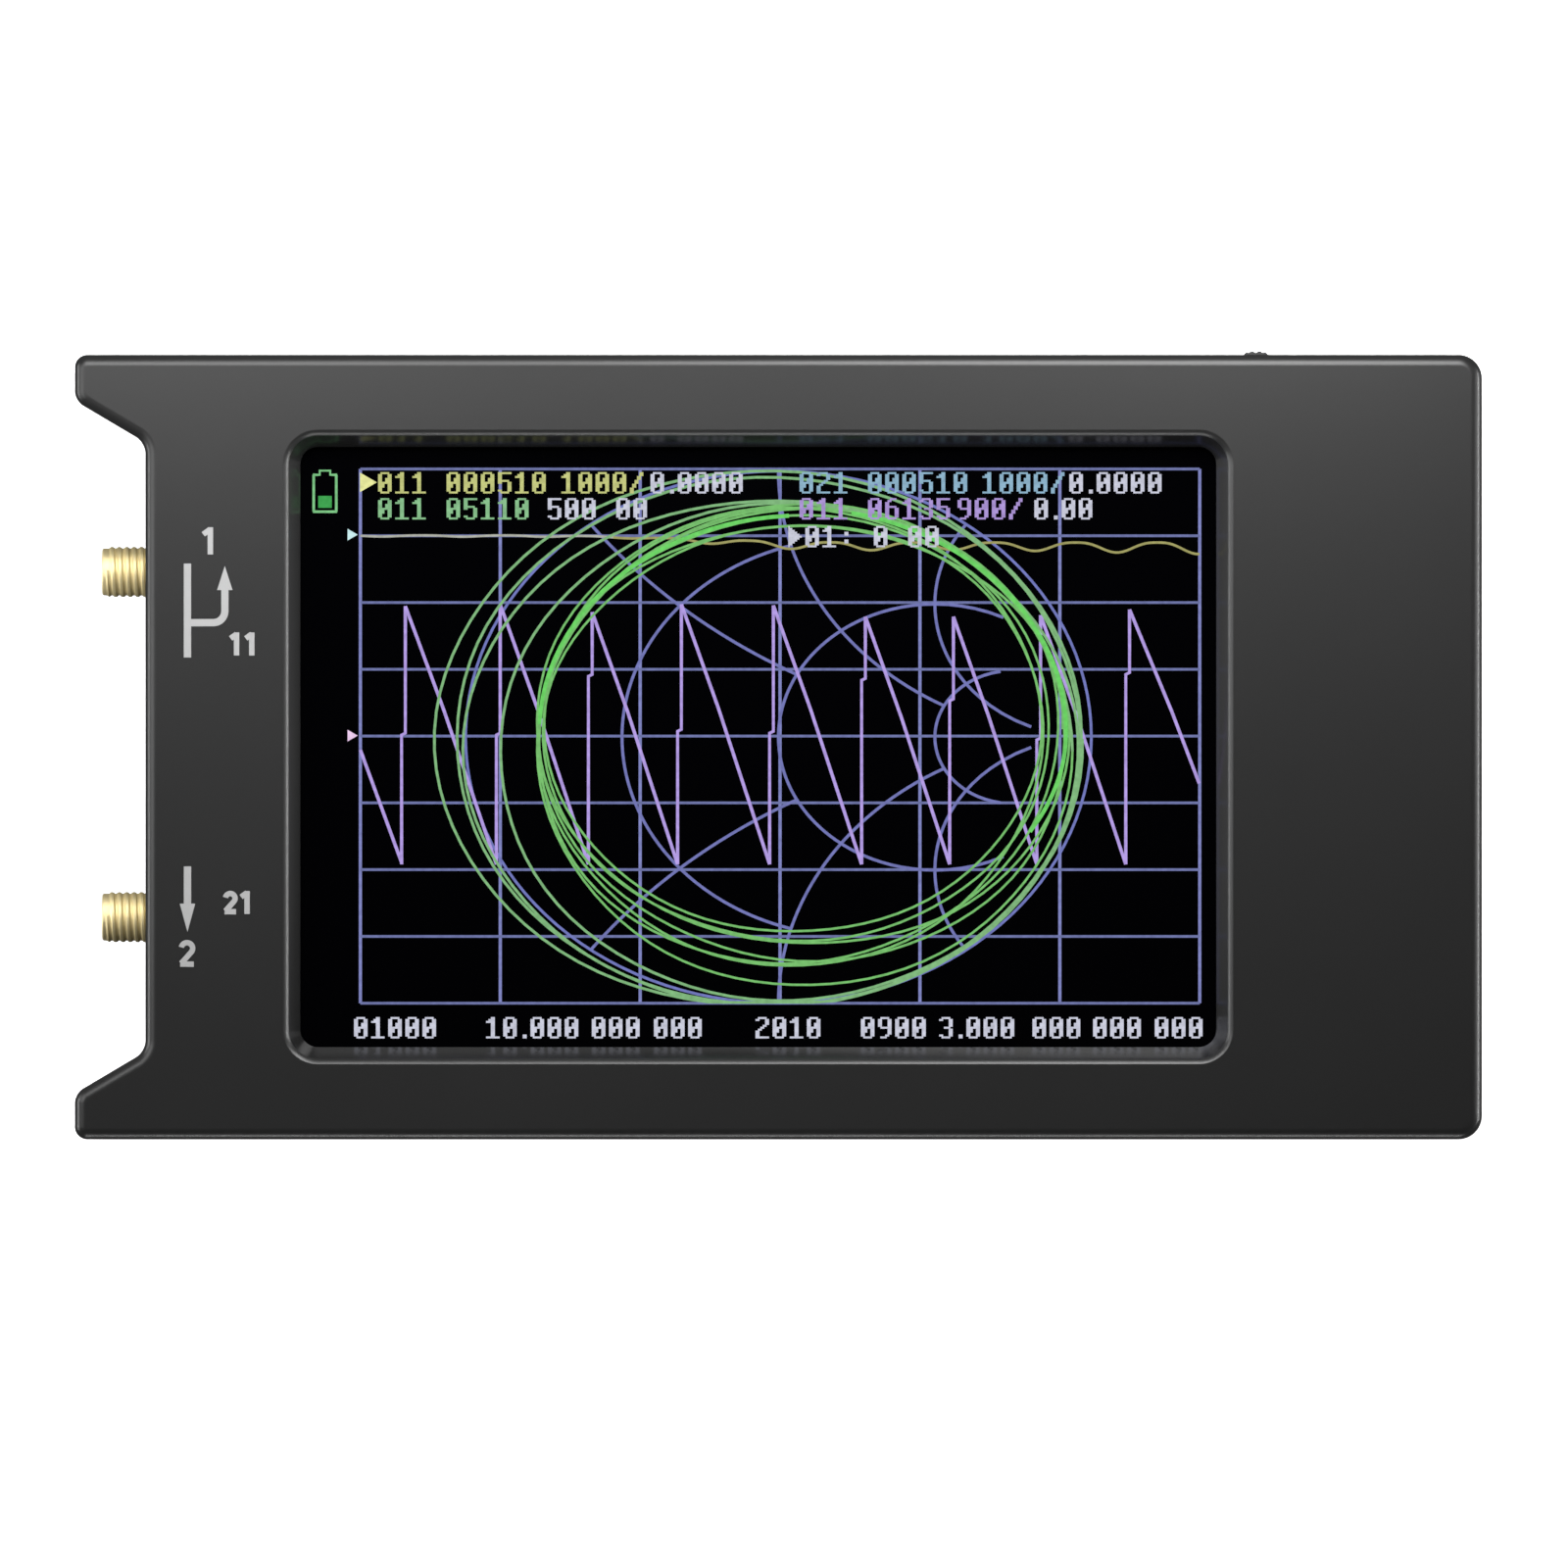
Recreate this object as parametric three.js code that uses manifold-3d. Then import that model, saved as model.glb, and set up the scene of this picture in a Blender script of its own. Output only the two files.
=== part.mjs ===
// Handheld two-port antenna analyzer with a four-inch touch display.
// Millimetres. +X runs from the port side to the right-hand side, +Y towards the edge with the switches, and
// +Z out of the screen. The origin is the centre of the back face, on which the analyzer lies.

import * as THREE from "three";
import { mergeVertices } from "three/addons/utils/BufferGeometryUtils.js";
import Module from "manifold-3d";

const wasm = await Module();
wasm.setup();

// Driving dimensions of the housing
const bodyLength = 134.5;
const bodyWidth = 75;
const bodyThickness = 19;
const wall = 2;
const frontWall = 2.4;
const rearWall = 2;
const cornerRadius = 2.25;
const frontEdgeRadius = 1.1;
const rearEdgeRadius = 1.1;

// Ears that stand out past the port side and guard the two connectors
const earLength = 6.75;
const earTipWidth = 4.4;
const earRootWidth = 8.4;
const earTipRadius = 1.2;
const earNoseRadius = 1.6;
const earRootRadius = 1.8;

// Tongue of the rear cover, which fits a groove inside the rim of the front cover
const lipThickness = 0.9;
const lipHeight = 1.4;
const lipClearance = 0.12;

// Screw posts: four screws enter from the back, pass the board and bite into the front cover
const postInset = 4.75;
const postInsetPortSide = 6;
const postSideInset = 4.5;
const postRadius = 3;
const webThickness = 1;
const screwRadius = 1.2;
const screwHoleRadius = 1.4;
const pilotRadius = 1.27;
const pilotDepth = 5;
const screwBite = 4.2;
const screwHeadRadius = 2.3;
const screwHeadHeight = 1.7;
const screwDriveRadius = 1.3;
const screwDriveWidth = 0.5;
const screwDriveDepth = 0.9;
const headPocketRadius = 2.6;
const headPocketDepth = 2.7;

// Board, and its height above the back face
const boardBackHeight = 9.2;
const boardThickness = 1.6;
const boardGap = 0.6;
const boardSideGap = 1.75;
const boardCornerRadius = 1;
const boardHoleRadius = 1.5;

// Window: the visible area of the display, with a slope up to the front face all round
const windowMarginPortSide = 14.78;
const windowMarginFarSide = 25.37;
const windowMarginLongSides = 8.8;
const windowCornerRadius = 1.7;
const bezelSlope = 1.37;
const bezelLand = 0.3;
const bezelLipRadius = 0.32;

// Display stack, from the window inwards
const gasketThickness = 0.5;
const gasketBorder = 1.2;
const gasketSetback = 0.5;
const touchThickness = 1.2;
const glassThickness = 0.8;
const backlightThickness = 2.1;
const displayBorder = 1.85;
const displayBorderLeft = 2.5;
const displayLedge = 4.6;
const touchOverhang = 1.6;
const displayClearance = 0.3;
const locatingRibThickness = 1.2;
const locatingRibHeight = 4;
const backlightStep = 0.6;
const tapeWidth = 6;
const tapeInset = 4;

// Flexible leads of the display and the touch panel, and the latched connector
const flexThickness = 0.2;
const flexWidth = 23;
const flexOverlap = 3.4;
const flexGap = 1;
const touchFlexWidth = 4;
const touchFlexInset = 6;
const touchFlexOverlap = 1.2;
const touchPadLength = 3;
const connectorReach = 6.2;
const connectorDepth = 4.6;
const connectorHeight = 2;
const connectorCheek = 0.8;
const connectorFloor = 0.5;
const connectorSlot = 0.45;
const latchDepth = 2.3;
const latchThickness = 0.6;
const latchGap = 0.12;

// Coaxial ports: 10-36 thread, 2.8 mm outer conductor, edge-mounted on the board
const portSpacing = 33.14;
const portShift = 0.26;
const threadRadius = 2.413;
const portProtrusion = 4.4;
const portTipChamfer = 0.25;
const threadReliefRadius = 2.05;
const threadReliefLength = 0.8;
const portHoleClearance = 0.3;
const portFlangeSize = 5.8;
const portFlangeThickness = 1.6;
const portFlangeGap = 0.8;
const portLegWidth = 0.8;
const portLegLength = 4.5;
const portMouthRadius = 1.7;
const portMouthDepth = 1.9;
const dielectricRadius = 1.4;
const contactRadius = 0.42;
const contactBoreRadius = 0.27;
const contactBoreDepth = 2.6;
const contactTailRadius = 0.38;
const contactTailLength = 3;
const coaxClearance = 0.03;

// Charging socket
const usbInset = 53.25;
const usbWidth = 8.94;
const usbHeight = 3.26;
const usbLength = 7.3;
const usbShellThickness = 0.3;
const usbRecess = 0.5;
const usbSlotClearance = 0.35;
const usbTongueWidth = 6.69;
const usbTongueThickness = 0.7;
const usbTongueRecess = 1;
const usbBaseDepth = 2;
const usbTabWidth = 1.1;
const usbTabLength = 1.6;
const usbTabHeight = 0.8;

// Power switch: a slider that stays at either end of its travel
const powerInset = 35.75;
const powerWidth = 9;
const powerDepth = 4;
const powerHeight = 3.4;
const powerEdgeGap = 0.3;
const powerTravel = 2;
const powerKnobWidth = 2;
const powerKnobHeight = 1.5;
const powerKnobRecess = 0.4;
const powerSlideWidth = 4.2;
const powerSlideDepth = 1.8;
const powerSlideHeight = 2;
const powerFaceThickness = 0.5;
const powerSlotClearance = 0.45;
const powerScoopMargin = 1.3;
const powerScoopDepth = 0.8;

// Three-way jog switch: a lever that tips to either side and pushes in
const jogInset = 21.4;
const jogWidth = 9;
const jogDepth = 5.5;
const jogHeight = 3.4;
const jogEdgeGap = 0.2;
const jogTiltDegrees = 12;
const jogPush = 0.4;
const jogLeverReach = 0.5;
const jogLeverThickness = 1.4;
const jogArmWidth = 1.5;
const jogHeadWidth = 2.5;
const jogHeadLength = 2.2;
const jogHubRadius = 1.2;
const jogPinRadius = 0.45;
const jogPinClearance = 0.06;
const jogPivotSetback = 3.1;
const jogPlateThickness = 0.4;
const jogPlateWidth = 6;
const jogPlateDepth = 2.6;
const jogCaseWall = 0.5;
const jogRunningGap = 0.1;
const jogFaceThickness = 0.5;
const jogSlotClearance = 0.5;

// Memory card socket behind the right-hand side
const cardInset = 17.7;
const cardSocketLength = 14.6;
const cardSocketWidth = 14;
const cardSocketHeight = 1.9;
const cardSlotWidth = 11.3;
const cardSlotHeight = 0.9;
const cardSlotDepth = 13;
const cardSkin = 0.4;
const cardWallSlotWidth = 12.4;
const cardWallSlotHeight = 1.7;

// Two indicator lamps between the charging socket and the power switch
const lampInset = 43.6;
const lampSpacing = 3;
const lampLength = 1.6;
const lampWidth = 0.8;
const lampHeight = 0.7;
const lampHoleRadius = 0.6;

// Battery and its lead
const switchStripDepth = 26.5;
const radioSectionLength = 50.1;
const batteryRightGap = 7.5;
const batteryFrontGap = 3.9;
const batteryThickness = 5.2;
const batteryEdgeRadius = 1.6;
const batteryCornerRadius = 2.4;
const batteryTapeThickness = 0.5;
const batteryTapeInset = 4;
const batteryFlapLength = 3.2;
const batteryFlapThickness = 0.8;
const guardBoardThickness = 1.2;
const guardBoardSetback = 3;
const bayRibThickness = 1.2;
const bayRibHeight = 3;
const bayRibClearance = 0.5;
const bayRibRun = 7;
const headerPitchFromSocket = 10.05;
const headerWidth = 7.9;
const headerDepth = 6.4;
const headerHeight = 4.6;
const headerWall = 0.8;
const headerEdgeGap = 6;
const plugClearance = 0.15;
const plugTail = 1.6;
const leadRadius = 0.6;
const leadSpacing = 2;
const leadDrop = 1.4;
const leadEndGap = 0.3;

// Shield cans over the radio section
const canThickness = 0.3;
const canHeight = 3;
const canLength = 20;
const canWidth = 16.5;
const canSpacing = 19.5;
const canInset = 9;
const canCornerRadius = 0.8;
const canHoleRadius = 0.6;
const canHolePitch = 4.5;
const canHoleRows = 2;
const canHoleColumns = 3;

// Packages on the board
const mixerLength = 4.9;
const mixerWidth = 3.9;
const mixerHeight = 1.4;
const processorSize = 10;
const processorHeight = 1.4;
const processorLeads = 10;
const processorLeadPitch = 0.8;
const leadFootLength = 1;
const leadFootWidth = 0.3;
const leadFootHeight = 0.35;
const processorInset = 35.4;
const processorEdgeGap = 13.4;
const codecSize = 5;
const codecHeight = 0.9;
const clockSize = 3;
const clockHeight = 1.1;
const oscillatorLength = 3.2;
const oscillatorWidth = 2.5;
const oscillatorHeight = 1;
const crystalLength = 5;
const crystalWidth = 3.2;
const crystalHeight = 1.1;
const chargerLength = 4.9;
const chargerWidth = 3.9;
const chargerHeight = 1.5;
const chargerPins = 4;
const chargerPinPitch = 1.27;
const inductorSize = 5;
const inductorHeight = 2.8;
const inductorCoreRadius = 2.1;
const inductorLid = 0.5;
const packageColumnGap = 6.5;
const partLength = 1.6;
const partWidth = 0.8;
const partHeight = 0.6;
const partPitch = 2.4;
const partsInRow = 6;
const partRows = 3;
const partRowPitch = 2.6;

// Values for curved surfaces and cuts
const overrun = 1;
const seat = 0.5;
const smallestRadius = 0.12;
const cornerSteps = 6;
const edgeSteps = 4;
const finePolygon = 24;
const coarsePolygon = 16;
const leadPolygon = 8;
const leadSteps = 12;
const flexSteps = 14;
const quarterTurn = Math.PI / 2;

// Planes and places that the dimensions above fix
const right = bodyLength / 2;
const left = -right;
const top = bodyWidth / 2;
const portWallX = left + earLength;
const boardFrontHeight = boardBackHeight + boardThickness;
const portAxisHeight = boardBackHeight - contactTailRadius;
const splitHeight = portAxisHeight;
const innerFrontHeight = bodyThickness - frontWall;
const boardLeft = portWallX + wall + portFlangeGap + portFlangeThickness;
const boardRight = right - wall - boardSideGap;
const boardTop = top - wall - boardGap;
const portYs = [portShift + portSpacing / 2, portShift - portSpacing / 2];
const windowLength = right - windowMarginFarSide - portWallX - windowMarginPortSide;
const windowWidth = bodyWidth - 2 * windowMarginLongSides;
const windowCentreX = portWallX + windowMarginPortSide + windowLength / 2;
const displayLeft = windowCentreX - windowLength / 2 - displayBorderLeft;
const displayRight = windowCentreX + windowLength / 2 + displayLedge;
const displayTop = windowWidth / 2 + displayBorder;
const touchHeight = innerFrontHeight - gasketThickness;
const panelHeight = touchHeight - touchThickness;
const ledgeHeight = panelHeight - glassThickness;
const panelBackHeight = ledgeHeight - glassThickness;
const backlightBackHeight = panelBackHeight - backlightThickness;
const touchFlexOffset = displayTop - touchFlexInset;
const panelLedgeX = displayRight - displayLedge + touchOverhang / 2;
const connectorX = displayRight + connectorReach;
const usbX = right - usbInset;
const powerX = right - powerInset;
const jogX = right - jogInset;
const cardY = top - cardInset;

const postPlaces = [
  [left + earLength + wall + postInsetPortSide, top - wall - postSideInset],
  [left + earLength + wall + postInsetPortSide, wall + postSideInset - top],
  [right - wall - postInset, top - wall - postSideInset],
  [right - wall - postInset, wall + postSideInset - top],
];

// A closed geometry as a solid that can be cut and joined. Triangles with no area, as at a lathe's axis, go.
function solid(geometry) {
  const bare = new THREE.BufferGeometry();
  const source = geometry.index ? geometry.toNonIndexed() : geometry;
  bare.setAttribute("position", source.getAttribute("position"));
  const merged = mergeVertices(bare);
  const corners = merged.index.array;
  const kept = [];
  for (let i = 0; i < corners.length; i += 3) {
    const [a, b, c] = corners.slice(i, i + 3);
    if (a !== b && b !== c && c !== a) kept.push(a, b, c);
  }
  return new wasm.Manifold(
    new wasm.Mesh({
      numProp: 3,
      vertProperties: merged.getAttribute("position").array,
      triVerts: new Uint32Array(kept),
    }),
  );
}

const join = (first, ...others) => others.reduce((made, other) => made.add(other), first);
const cut = (first, ...others) => others.reduce((made, other) => made.subtract(other), first);

// A block between two opposite corners.
function block([x0, y0, z0], [x1, y1, z1]) {
  const geometry = new THREE.BoxGeometry(x1 - x0, y1 - y0, z1 - z0);
  geometry.translate((x0 + x1) / 2, (y0 + y1) / 2, (z0 + z1) / 2);
  return solid(geometry);
}

// A round rod that stands along Z.
function rod(x, y, z0, z1, radius, sides = finePolygon) {
  const geometry = new THREE.CylinderGeometry(radius, radius, z1 - z0, sides);
  geometry.rotateX(quarterTurn);
  geometry.translate(x, y, (z0 + z1) / 2);
  return solid(geometry);
}

// A revolved profile of [radius, distance] pairs, turned so that its axis points along -X from (x, y, z).
function turnedAlongPort(profile, x, y, z, sides = finePolygon) {
  const points = profile.map(([radius, distance]) => new THREE.Vector2(radius, distance));
  const geometry = new THREE.LatheGeometry(points, sides);
  geometry.rotateZ(quarterTurn);
  geometry.translate(x, y, z);
  return solid(geometry);
}

// The points of a polygon with rounded corners, drawn in by an inset. Inside corners grow rounder with it.
function roundedOutline(corners, inset = 0, steps = cornerSteps) {
  const count = corners.length;
  const at = (i) => corners[(i + count) % count];
  const edges = corners.map((corner, i) => {
    const next = at(i + 1);
    const along = new THREE.Vector2(next.x - corner.x, next.y - corner.y).normalize();
    const inward = new THREE.Vector2(-along.y, along.x);
    return { from: new THREE.Vector2(corner.x, corner.y).addScaledVector(inward, inset), along };
  });
  return corners.flatMap((corner, i) => {
    const before = edges[(i + count - 1) % count];
    const after = edges[i];
    const turn = before.along.cross(after.along);
    const gap = after.from.clone().sub(before.from);
    const tip = before.from.clone().addScaledVector(before.along, gap.cross(after.along) / turn);
    const side = Math.sign(turn);
    const radius = Math.max(corner.radius - side * inset, smallestRadius);
    const angle = Math.atan2(turn, before.along.dot(after.along));
    const reach = radius * Math.tan(Math.abs(angle) / 2);
    const start = tip.clone().addScaledVector(before.along, -reach);
    const centre = start
      .clone()
      .add(new THREE.Vector2(-before.along.y, before.along.x).multiplyScalar(side * radius));
    return Array.from({ length: steps + 1 }, (_, k) =>
      start.clone().rotateAround(centre, (angle * k) / steps),
    );
  });
}

const rectangleCorners = (x0, y0, x1, y1, radius) => [
  { x: x1, y: y0, radius },
  { x: x1, y: y1, radius },
  { x: x0, y: y1, radius },
  { x: x0, y: y0, radius },
];

const housingCorners = [
  { x: right, y: -top, radius: cornerRadius },
  { x: right, y: top, radius: cornerRadius },
  { x: left, y: top, radius: earTipRadius },
  { x: left, y: top - earTipWidth, radius: earNoseRadius },
  { x: portWallX, y: top - earRootWidth, radius: earRootRadius },
  { x: portWallX, y: earRootWidth - top, radius: earRootRadius },
  { x: left, y: earTipWidth - top, radius: earNoseRadius },
  { x: left, y: -top, radius: earTipRadius },
];

// A solid through a stack of outlines with equal numbers of points.
function loft(sections) {
  const count = sections[0].points.length;
  const position = sections.flatMap(({ points, z }) => points.flatMap((p) => [p.x, p.y, z]));
  const index = [];
  for (let s = 0; s + 1 < sections.length; s += 1)
    for (let i = 0; i < count; i += 1) {
      const a = s * count + i;
      const b = s * count + ((i + 1) % count);
      index.push(a, b, b + count, a, b + count, a + count);
    }
  const last = (sections.length - 1) * count;
  for (const [a, b, c] of THREE.ShapeUtils.triangulateShape([...sections[0].points], []))
    index.push(c, b, a);
  for (const [a, b, c] of THREE.ShapeUtils.triangulateShape([...sections.at(-1).points], []))
    index.push(last + a, last + b, last + c);
  const geometry = new THREE.BufferGeometry();
  geometry.setAttribute("position", new THREE.Float32BufferAttribute(position, 3));
  geometry.setIndex(index);
  return solid(geometry);
}

const prism = (points, z0, z1) => loft([{ points, z: z0 }, { points, z: z1 }]);

// The same, drawn in the XZ plane and run from y0 to y1.
function prismAlongY(points, y0, y1) {
  const geometry = new THREE.ExtrudeGeometry(new THREE.Shape(points), {
    depth: y1 - y0,
    bevelEnabled: false,
  });
  geometry.rotateX(quarterTurn);
  geometry.translate(0, y1, 0);
  return solid(geometry);
}

// Sections that round an edge over: the inset grows to the radius as the height nears the face.
const roundedEdge = (corners, face, radius, direction, steps = edgeSteps) =>
  Array.from({ length: steps + 1 }, (_, k) => {
    const angle = (quarterTurn * k) / steps;
    return {
      points: roundedOutline(corners, radius - radius * Math.cos(angle)),
      z: face - direction * (radius - radius * Math.sin(angle)),
    };
  });

// Openings through the housing's walls, shared by both covers
function portHoles() {
  const radius = threadRadius + portHoleClearance;
  return portYs.map((y) =>
    turnedAlongPort(
      [
        [0, 0],
        [radius, 0],
        [radius, wall + 2 * overrun],
        [0, wall + 2 * overrun],
      ],
      portWallX + wall + overrun,
      y,
      portAxisHeight,
    ),
  );
}

function usbSlot() {
  const halfWidth = usbWidth / 2 + usbSlotClearance;
  const z0 = boardBackHeight - usbHeight - usbSlotClearance;
  const z1 = boardBackHeight + usbSlotClearance;
  const corners = rectangleCorners(usbX - halfWidth, z0, usbX + halfWidth, z1, usbHeight / 2);
  return prismAlongY(roundedOutline(corners), top - wall - overrun, top + overrun);
}

const powerKnobBottom = boardBackHeight - powerHeight / 2 - powerKnobHeight / 2;
const jogLeverBottom = boardBackHeight - jogHeight / 2 - jogLeverThickness / 2;
const jogPivotY = boardTop - jogEdgeGap - jogPivotSetback;
const jogTipY = top + jogLeverReach;
const jogSwing = (jogTipY - jogPivotY) * Math.sin((jogTiltDegrees * Math.PI) / 180);

function powerSlot() {
  const halfWidth = (powerKnobWidth + powerTravel) / 2 + powerSlotClearance;
  const z0 = powerKnobBottom - powerSlotClearance;
  const slot = block(
    [powerX - halfWidth, top - wall - overrun, z0],
    [powerX + halfWidth, top + overrun, splitHeight],
  );
  const scoop = loft([
    {
      points: roundedOutline(
        rectangleCorners(
          powerX - halfWidth - powerScoopMargin,
          z0 - powerScoopMargin,
          powerX + halfWidth + powerScoopMargin,
          splitHeight + powerScoopMargin,
          powerScoopMargin,
        ),
      ),
      z: 0,
    },
    {
      points: roundedOutline(
        rectangleCorners(powerX - halfWidth, z0, powerX + halfWidth, splitHeight, powerScoopMargin / 2),
      ),
      z: powerScoopDepth,
    },
  ]);
  return join(slot, scoop.rotate([90, 0, 0]).translate([0, top, 0]));
}

function jogSlot() {
  const halfWidth = jogHeadWidth / 2 + jogSwing + jogSlotClearance;
  return block(
    [jogX - halfWidth, top - wall - overrun, jogLeverBottom - jogSlotClearance],
    [jogX + halfWidth, top + overrun, splitHeight],
  );
}

function cardSlot() {
  const middle = boardBackHeight - cardSocketHeight / 2;
  return block(
    [right - wall - overrun, cardY - cardWallSlotWidth / 2, middle - cardWallSlotHeight / 2],
    [right + overrun, cardY + cardWallSlotWidth / 2, middle + cardWallSlotHeight / 2],
  );
}

const lampXs = [right - lampInset - lampSpacing / 2, right - lampInset + lampSpacing / 2];

function lampHoles() {
  return lampXs.map((x) => {
    const hole = rod(0, 0, 0, wall + 2 * overrun, lampHoleRadius, coarsePolygon);
    return hole
      .rotate([90, 0, 0])
      .translate([x, top + overrun, boardBackHeight - lampHeight / 2]);
  });
}

const wallOpenings = () => [...portHoles(), usbSlot(), powerSlot(), jogSlot(), cardSlot(), ...lampHoles()];

// Webs that tie a screw post to the two nearest side walls
function postWebs([x, y], z0, z1) {
  const half = webThickness / 2;
  const wallX = Math.sign(x) > 0 ? right - wall / 2 : portWallX + wall / 2;
  const wallY = Math.sign(y) * (top - wall / 2);
  return [
    block([Math.min(x, wallX), y - half, z0], [Math.max(x, wallX), y + half, z1]),
    block([x - half, Math.min(y, wallY), z0], [x + half, Math.max(y, wallY), z1]),
  ];
}

function frontCover() {
  const shell = loft([
    { points: roundedOutline(housingCorners), z: splitHeight },
    ...roundedEdge(housingCorners, bodyThickness, frontEdgeRadius, 1),
  ]);
  const hollow = prism(roundedOutline(housingCorners, wall), splitHeight - overrun, innerFrontHeight);
  const groove = prism(
    roundedOutline(housingCorners, wall - lipThickness),
    splitHeight - overrun,
    splitHeight + lipHeight,
  );
  const postTop = innerFrontHeight + seat;
  const posts = postPlaces.map(([x, y]) => rod(x, y, boardFrontHeight, postTop, postRadius));
  const webStart = splitHeight + lipHeight + boardThickness;
  const webs = postPlaces.flatMap((place) => postWebs(place, webStart, postTop));
  const pilots = postPlaces.map(([x, y]) =>
    rod(x, y, boardFrontHeight - overrun, boardFrontHeight + pilotDepth, pilotRadius),
  );
  const rib = displayClearance + locatingRibThickness;
  const ribs = cut(
    block(
      [displayLeft - rib, -displayTop - rib, innerFrontHeight - locatingRibHeight],
      [displayRight + rib, displayTop + rib, postTop],
    ),
    block(
      [
        displayLeft - displayClearance,
        -displayTop - displayClearance,
        innerFrontHeight - locatingRibHeight - overrun,
      ],
      [displayRight + displayClearance, displayTop + displayClearance, innerFrontHeight],
    ),
    block(
      [displayRight - overrun, -flexWidth / 2 - flexGap, innerFrontHeight - locatingRibHeight - overrun],
      [displayRight + rib + overrun, flexWidth / 2 + flexGap, innerFrontHeight],
    ),
    block(
      [
        displayRight - overrun,
        -touchFlexOffset - touchFlexWidth / 2 - flexGap,
        innerFrontHeight - locatingRibHeight - overrun,
      ],
      [displayRight + rib + overrun, -touchFlexOffset + touchFlexWidth / 2 + flexGap, innerFrontHeight],
    ),
  );
  const body = join(cut(shell, hollow, groove), ...posts, ...webs, ribs);
  return cut(body, windowOpening(), ...pilots, ...wallOpenings());
}

// The window: straight at the glass, sloped above it, and rounded over at the front face.
function windowOpening() {
  const corners = rectangleCorners(
    windowCentreX - windowLength / 2,
    -windowWidth / 2,
    windowCentreX + windowLength / 2,
    windowWidth / 2,
    windowCornerRadius,
  );
  const slopeStart = innerFrontHeight + bezelLand;
  const rounding = Array.from({ length: edgeSteps + 1 }, (_, k) => {
    const angle = (quarterTurn * k) / edgeSteps;
    return {
      points: roundedOutline(corners, -bezelSlope - bezelLipRadius * (1 - Math.cos(angle))),
      z: bodyThickness - bezelLipRadius * (1 - Math.sin(angle)),
    };
  });
  return loft([
    { points: roundedOutline(corners), z: innerFrontHeight - overrun },
    { points: roundedOutline(corners), z: slopeStart },
    ...rounding,
    { points: roundedOutline(corners, -bezelSlope - bezelLipRadius), z: bodyThickness + overrun },
  ]);
}

const bayBottom = wall + bayRibClearance + bayRibThickness - top;
const batteryBottom = bayBottom + batteryEdgeRadius;
const batteryTop = top - wall - switchStripDepth;
const batteryLeft = boardLeft + radioSectionLength;
const batteryRight = boardRight - batteryRightGap;
const batteryFront = boardBackHeight - batteryTapeThickness;
const batteryBack = batteryFront - batteryThickness;

// Four corner ribs on the rear wall that hold the battery from sliding
function bayRibs() {
  const x0 = batteryLeft - bayRibClearance;
  const x1 = batteryRight + bayRibClearance;
  const y0 = batteryBottom - bayRibClearance;
  const y1 = batteryTop + batteryFlapLength + bayRibClearance;
  const z0 = rearWall - seat;
  const z1 = rearWall + bayRibHeight;
  const frame = cut(
    block([x0 - bayRibThickness, y0 - bayRibThickness, z0], [x1 + bayRibThickness, y1 + bayRibThickness, z1]),
    block([x0, y0, z0 - overrun], [x1, y1, z1 + overrun]),
  );
  const reach = bayRibThickness + overrun;
  return cut(
    frame,
    block([x0 + bayRibRun, y0 - reach, z0 - overrun], [x1 - bayRibRun, y1 + reach, z1 + overrun]),
    block([x0 - reach, y0 + bayRibRun, z0 - overrun], [x1 + reach, y1 - bayRibRun, z1 + overrun]),
  );
}

function rearCover() {
  const shell = loft([
    ...roundedEdge(housingCorners, 0, rearEdgeRadius, -1).reverse(),
    { points: roundedOutline(housingCorners), z: splitHeight },
  ]);
  const inner = roundedOutline(housingCorners, wall);
  const hollow = prism(inner, rearWall, splitHeight + overrun);
  const lip = cut(
    prism(
      roundedOutline(housingCorners, wall - lipThickness + lipClearance),
      splitHeight - seat,
      splitHeight + lipHeight - lipClearance,
    ),
    prism(inner, splitHeight - seat - overrun, splitHeight + lipHeight + overrun),
  );
  const posts = postPlaces.map(([x, y]) => rod(x, y, rearWall - seat, boardBackHeight, postRadius));
  const webs = postPlaces.flatMap((place) => postWebs(place, rearWall - seat, splitHeight - lipHeight));
  const pockets = postPlaces.map(([x, y]) => rod(x, y, -overrun, headPocketDepth, headPocketRadius));
  const holes = postPlaces.map(([x, y]) => rod(x, y, -overrun, boardBackHeight + overrun, screwHoleRadius));
  const body = join(cut(shell, hollow), lip, ...posts, ...webs, bayRibs());
  return cut(body, ...pockets, ...holes, ...wallOpenings());
}

// A pan-head screw with a cross recess, head towards the back face
function rearScrew([x, y]) {
  const headTop = headPocketDepth - screwHeadHeight;
  const head = rod(x, y, headTop, headPocketDepth, screwHeadRadius);
  const shank = rod(x, y, headPocketDepth - seat, boardFrontHeight + screwBite, screwRadius, coarsePolygon);
  const half = screwDriveWidth / 2;
  const driveEnd = headTop + screwDriveDepth;
  return cut(
    join(head, shank),
    block([x - screwDriveRadius, y - half, headTop - overrun], [x + screwDriveRadius, y + half, driveEnd]),
    block([x - half, y - screwDriveRadius, headTop - overrun], [x + half, y + screwDriveRadius, driveEnd]),
  );
}

// Display stack
function windowGasket() {
  const x0 = displayLeft + gasketSetback;
  const x1 = displayRight - displayLedge + touchOverhang;
  const y1 = displayTop - gasketSetback;
  const inner = (x, side) => x - side * gasketBorder;
  const hole = block(
    [Math.min(inner(x0, -1), windowCentreX - windowLength / 2), inner(-y1, -1), touchHeight - overrun],
    [inner(x1, 1), inner(y1, 1), innerFrontHeight + overrun],
  );
  return cut(block([x0, -y1, touchHeight], [x1, y1, innerFrontHeight]), hole);
}

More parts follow.
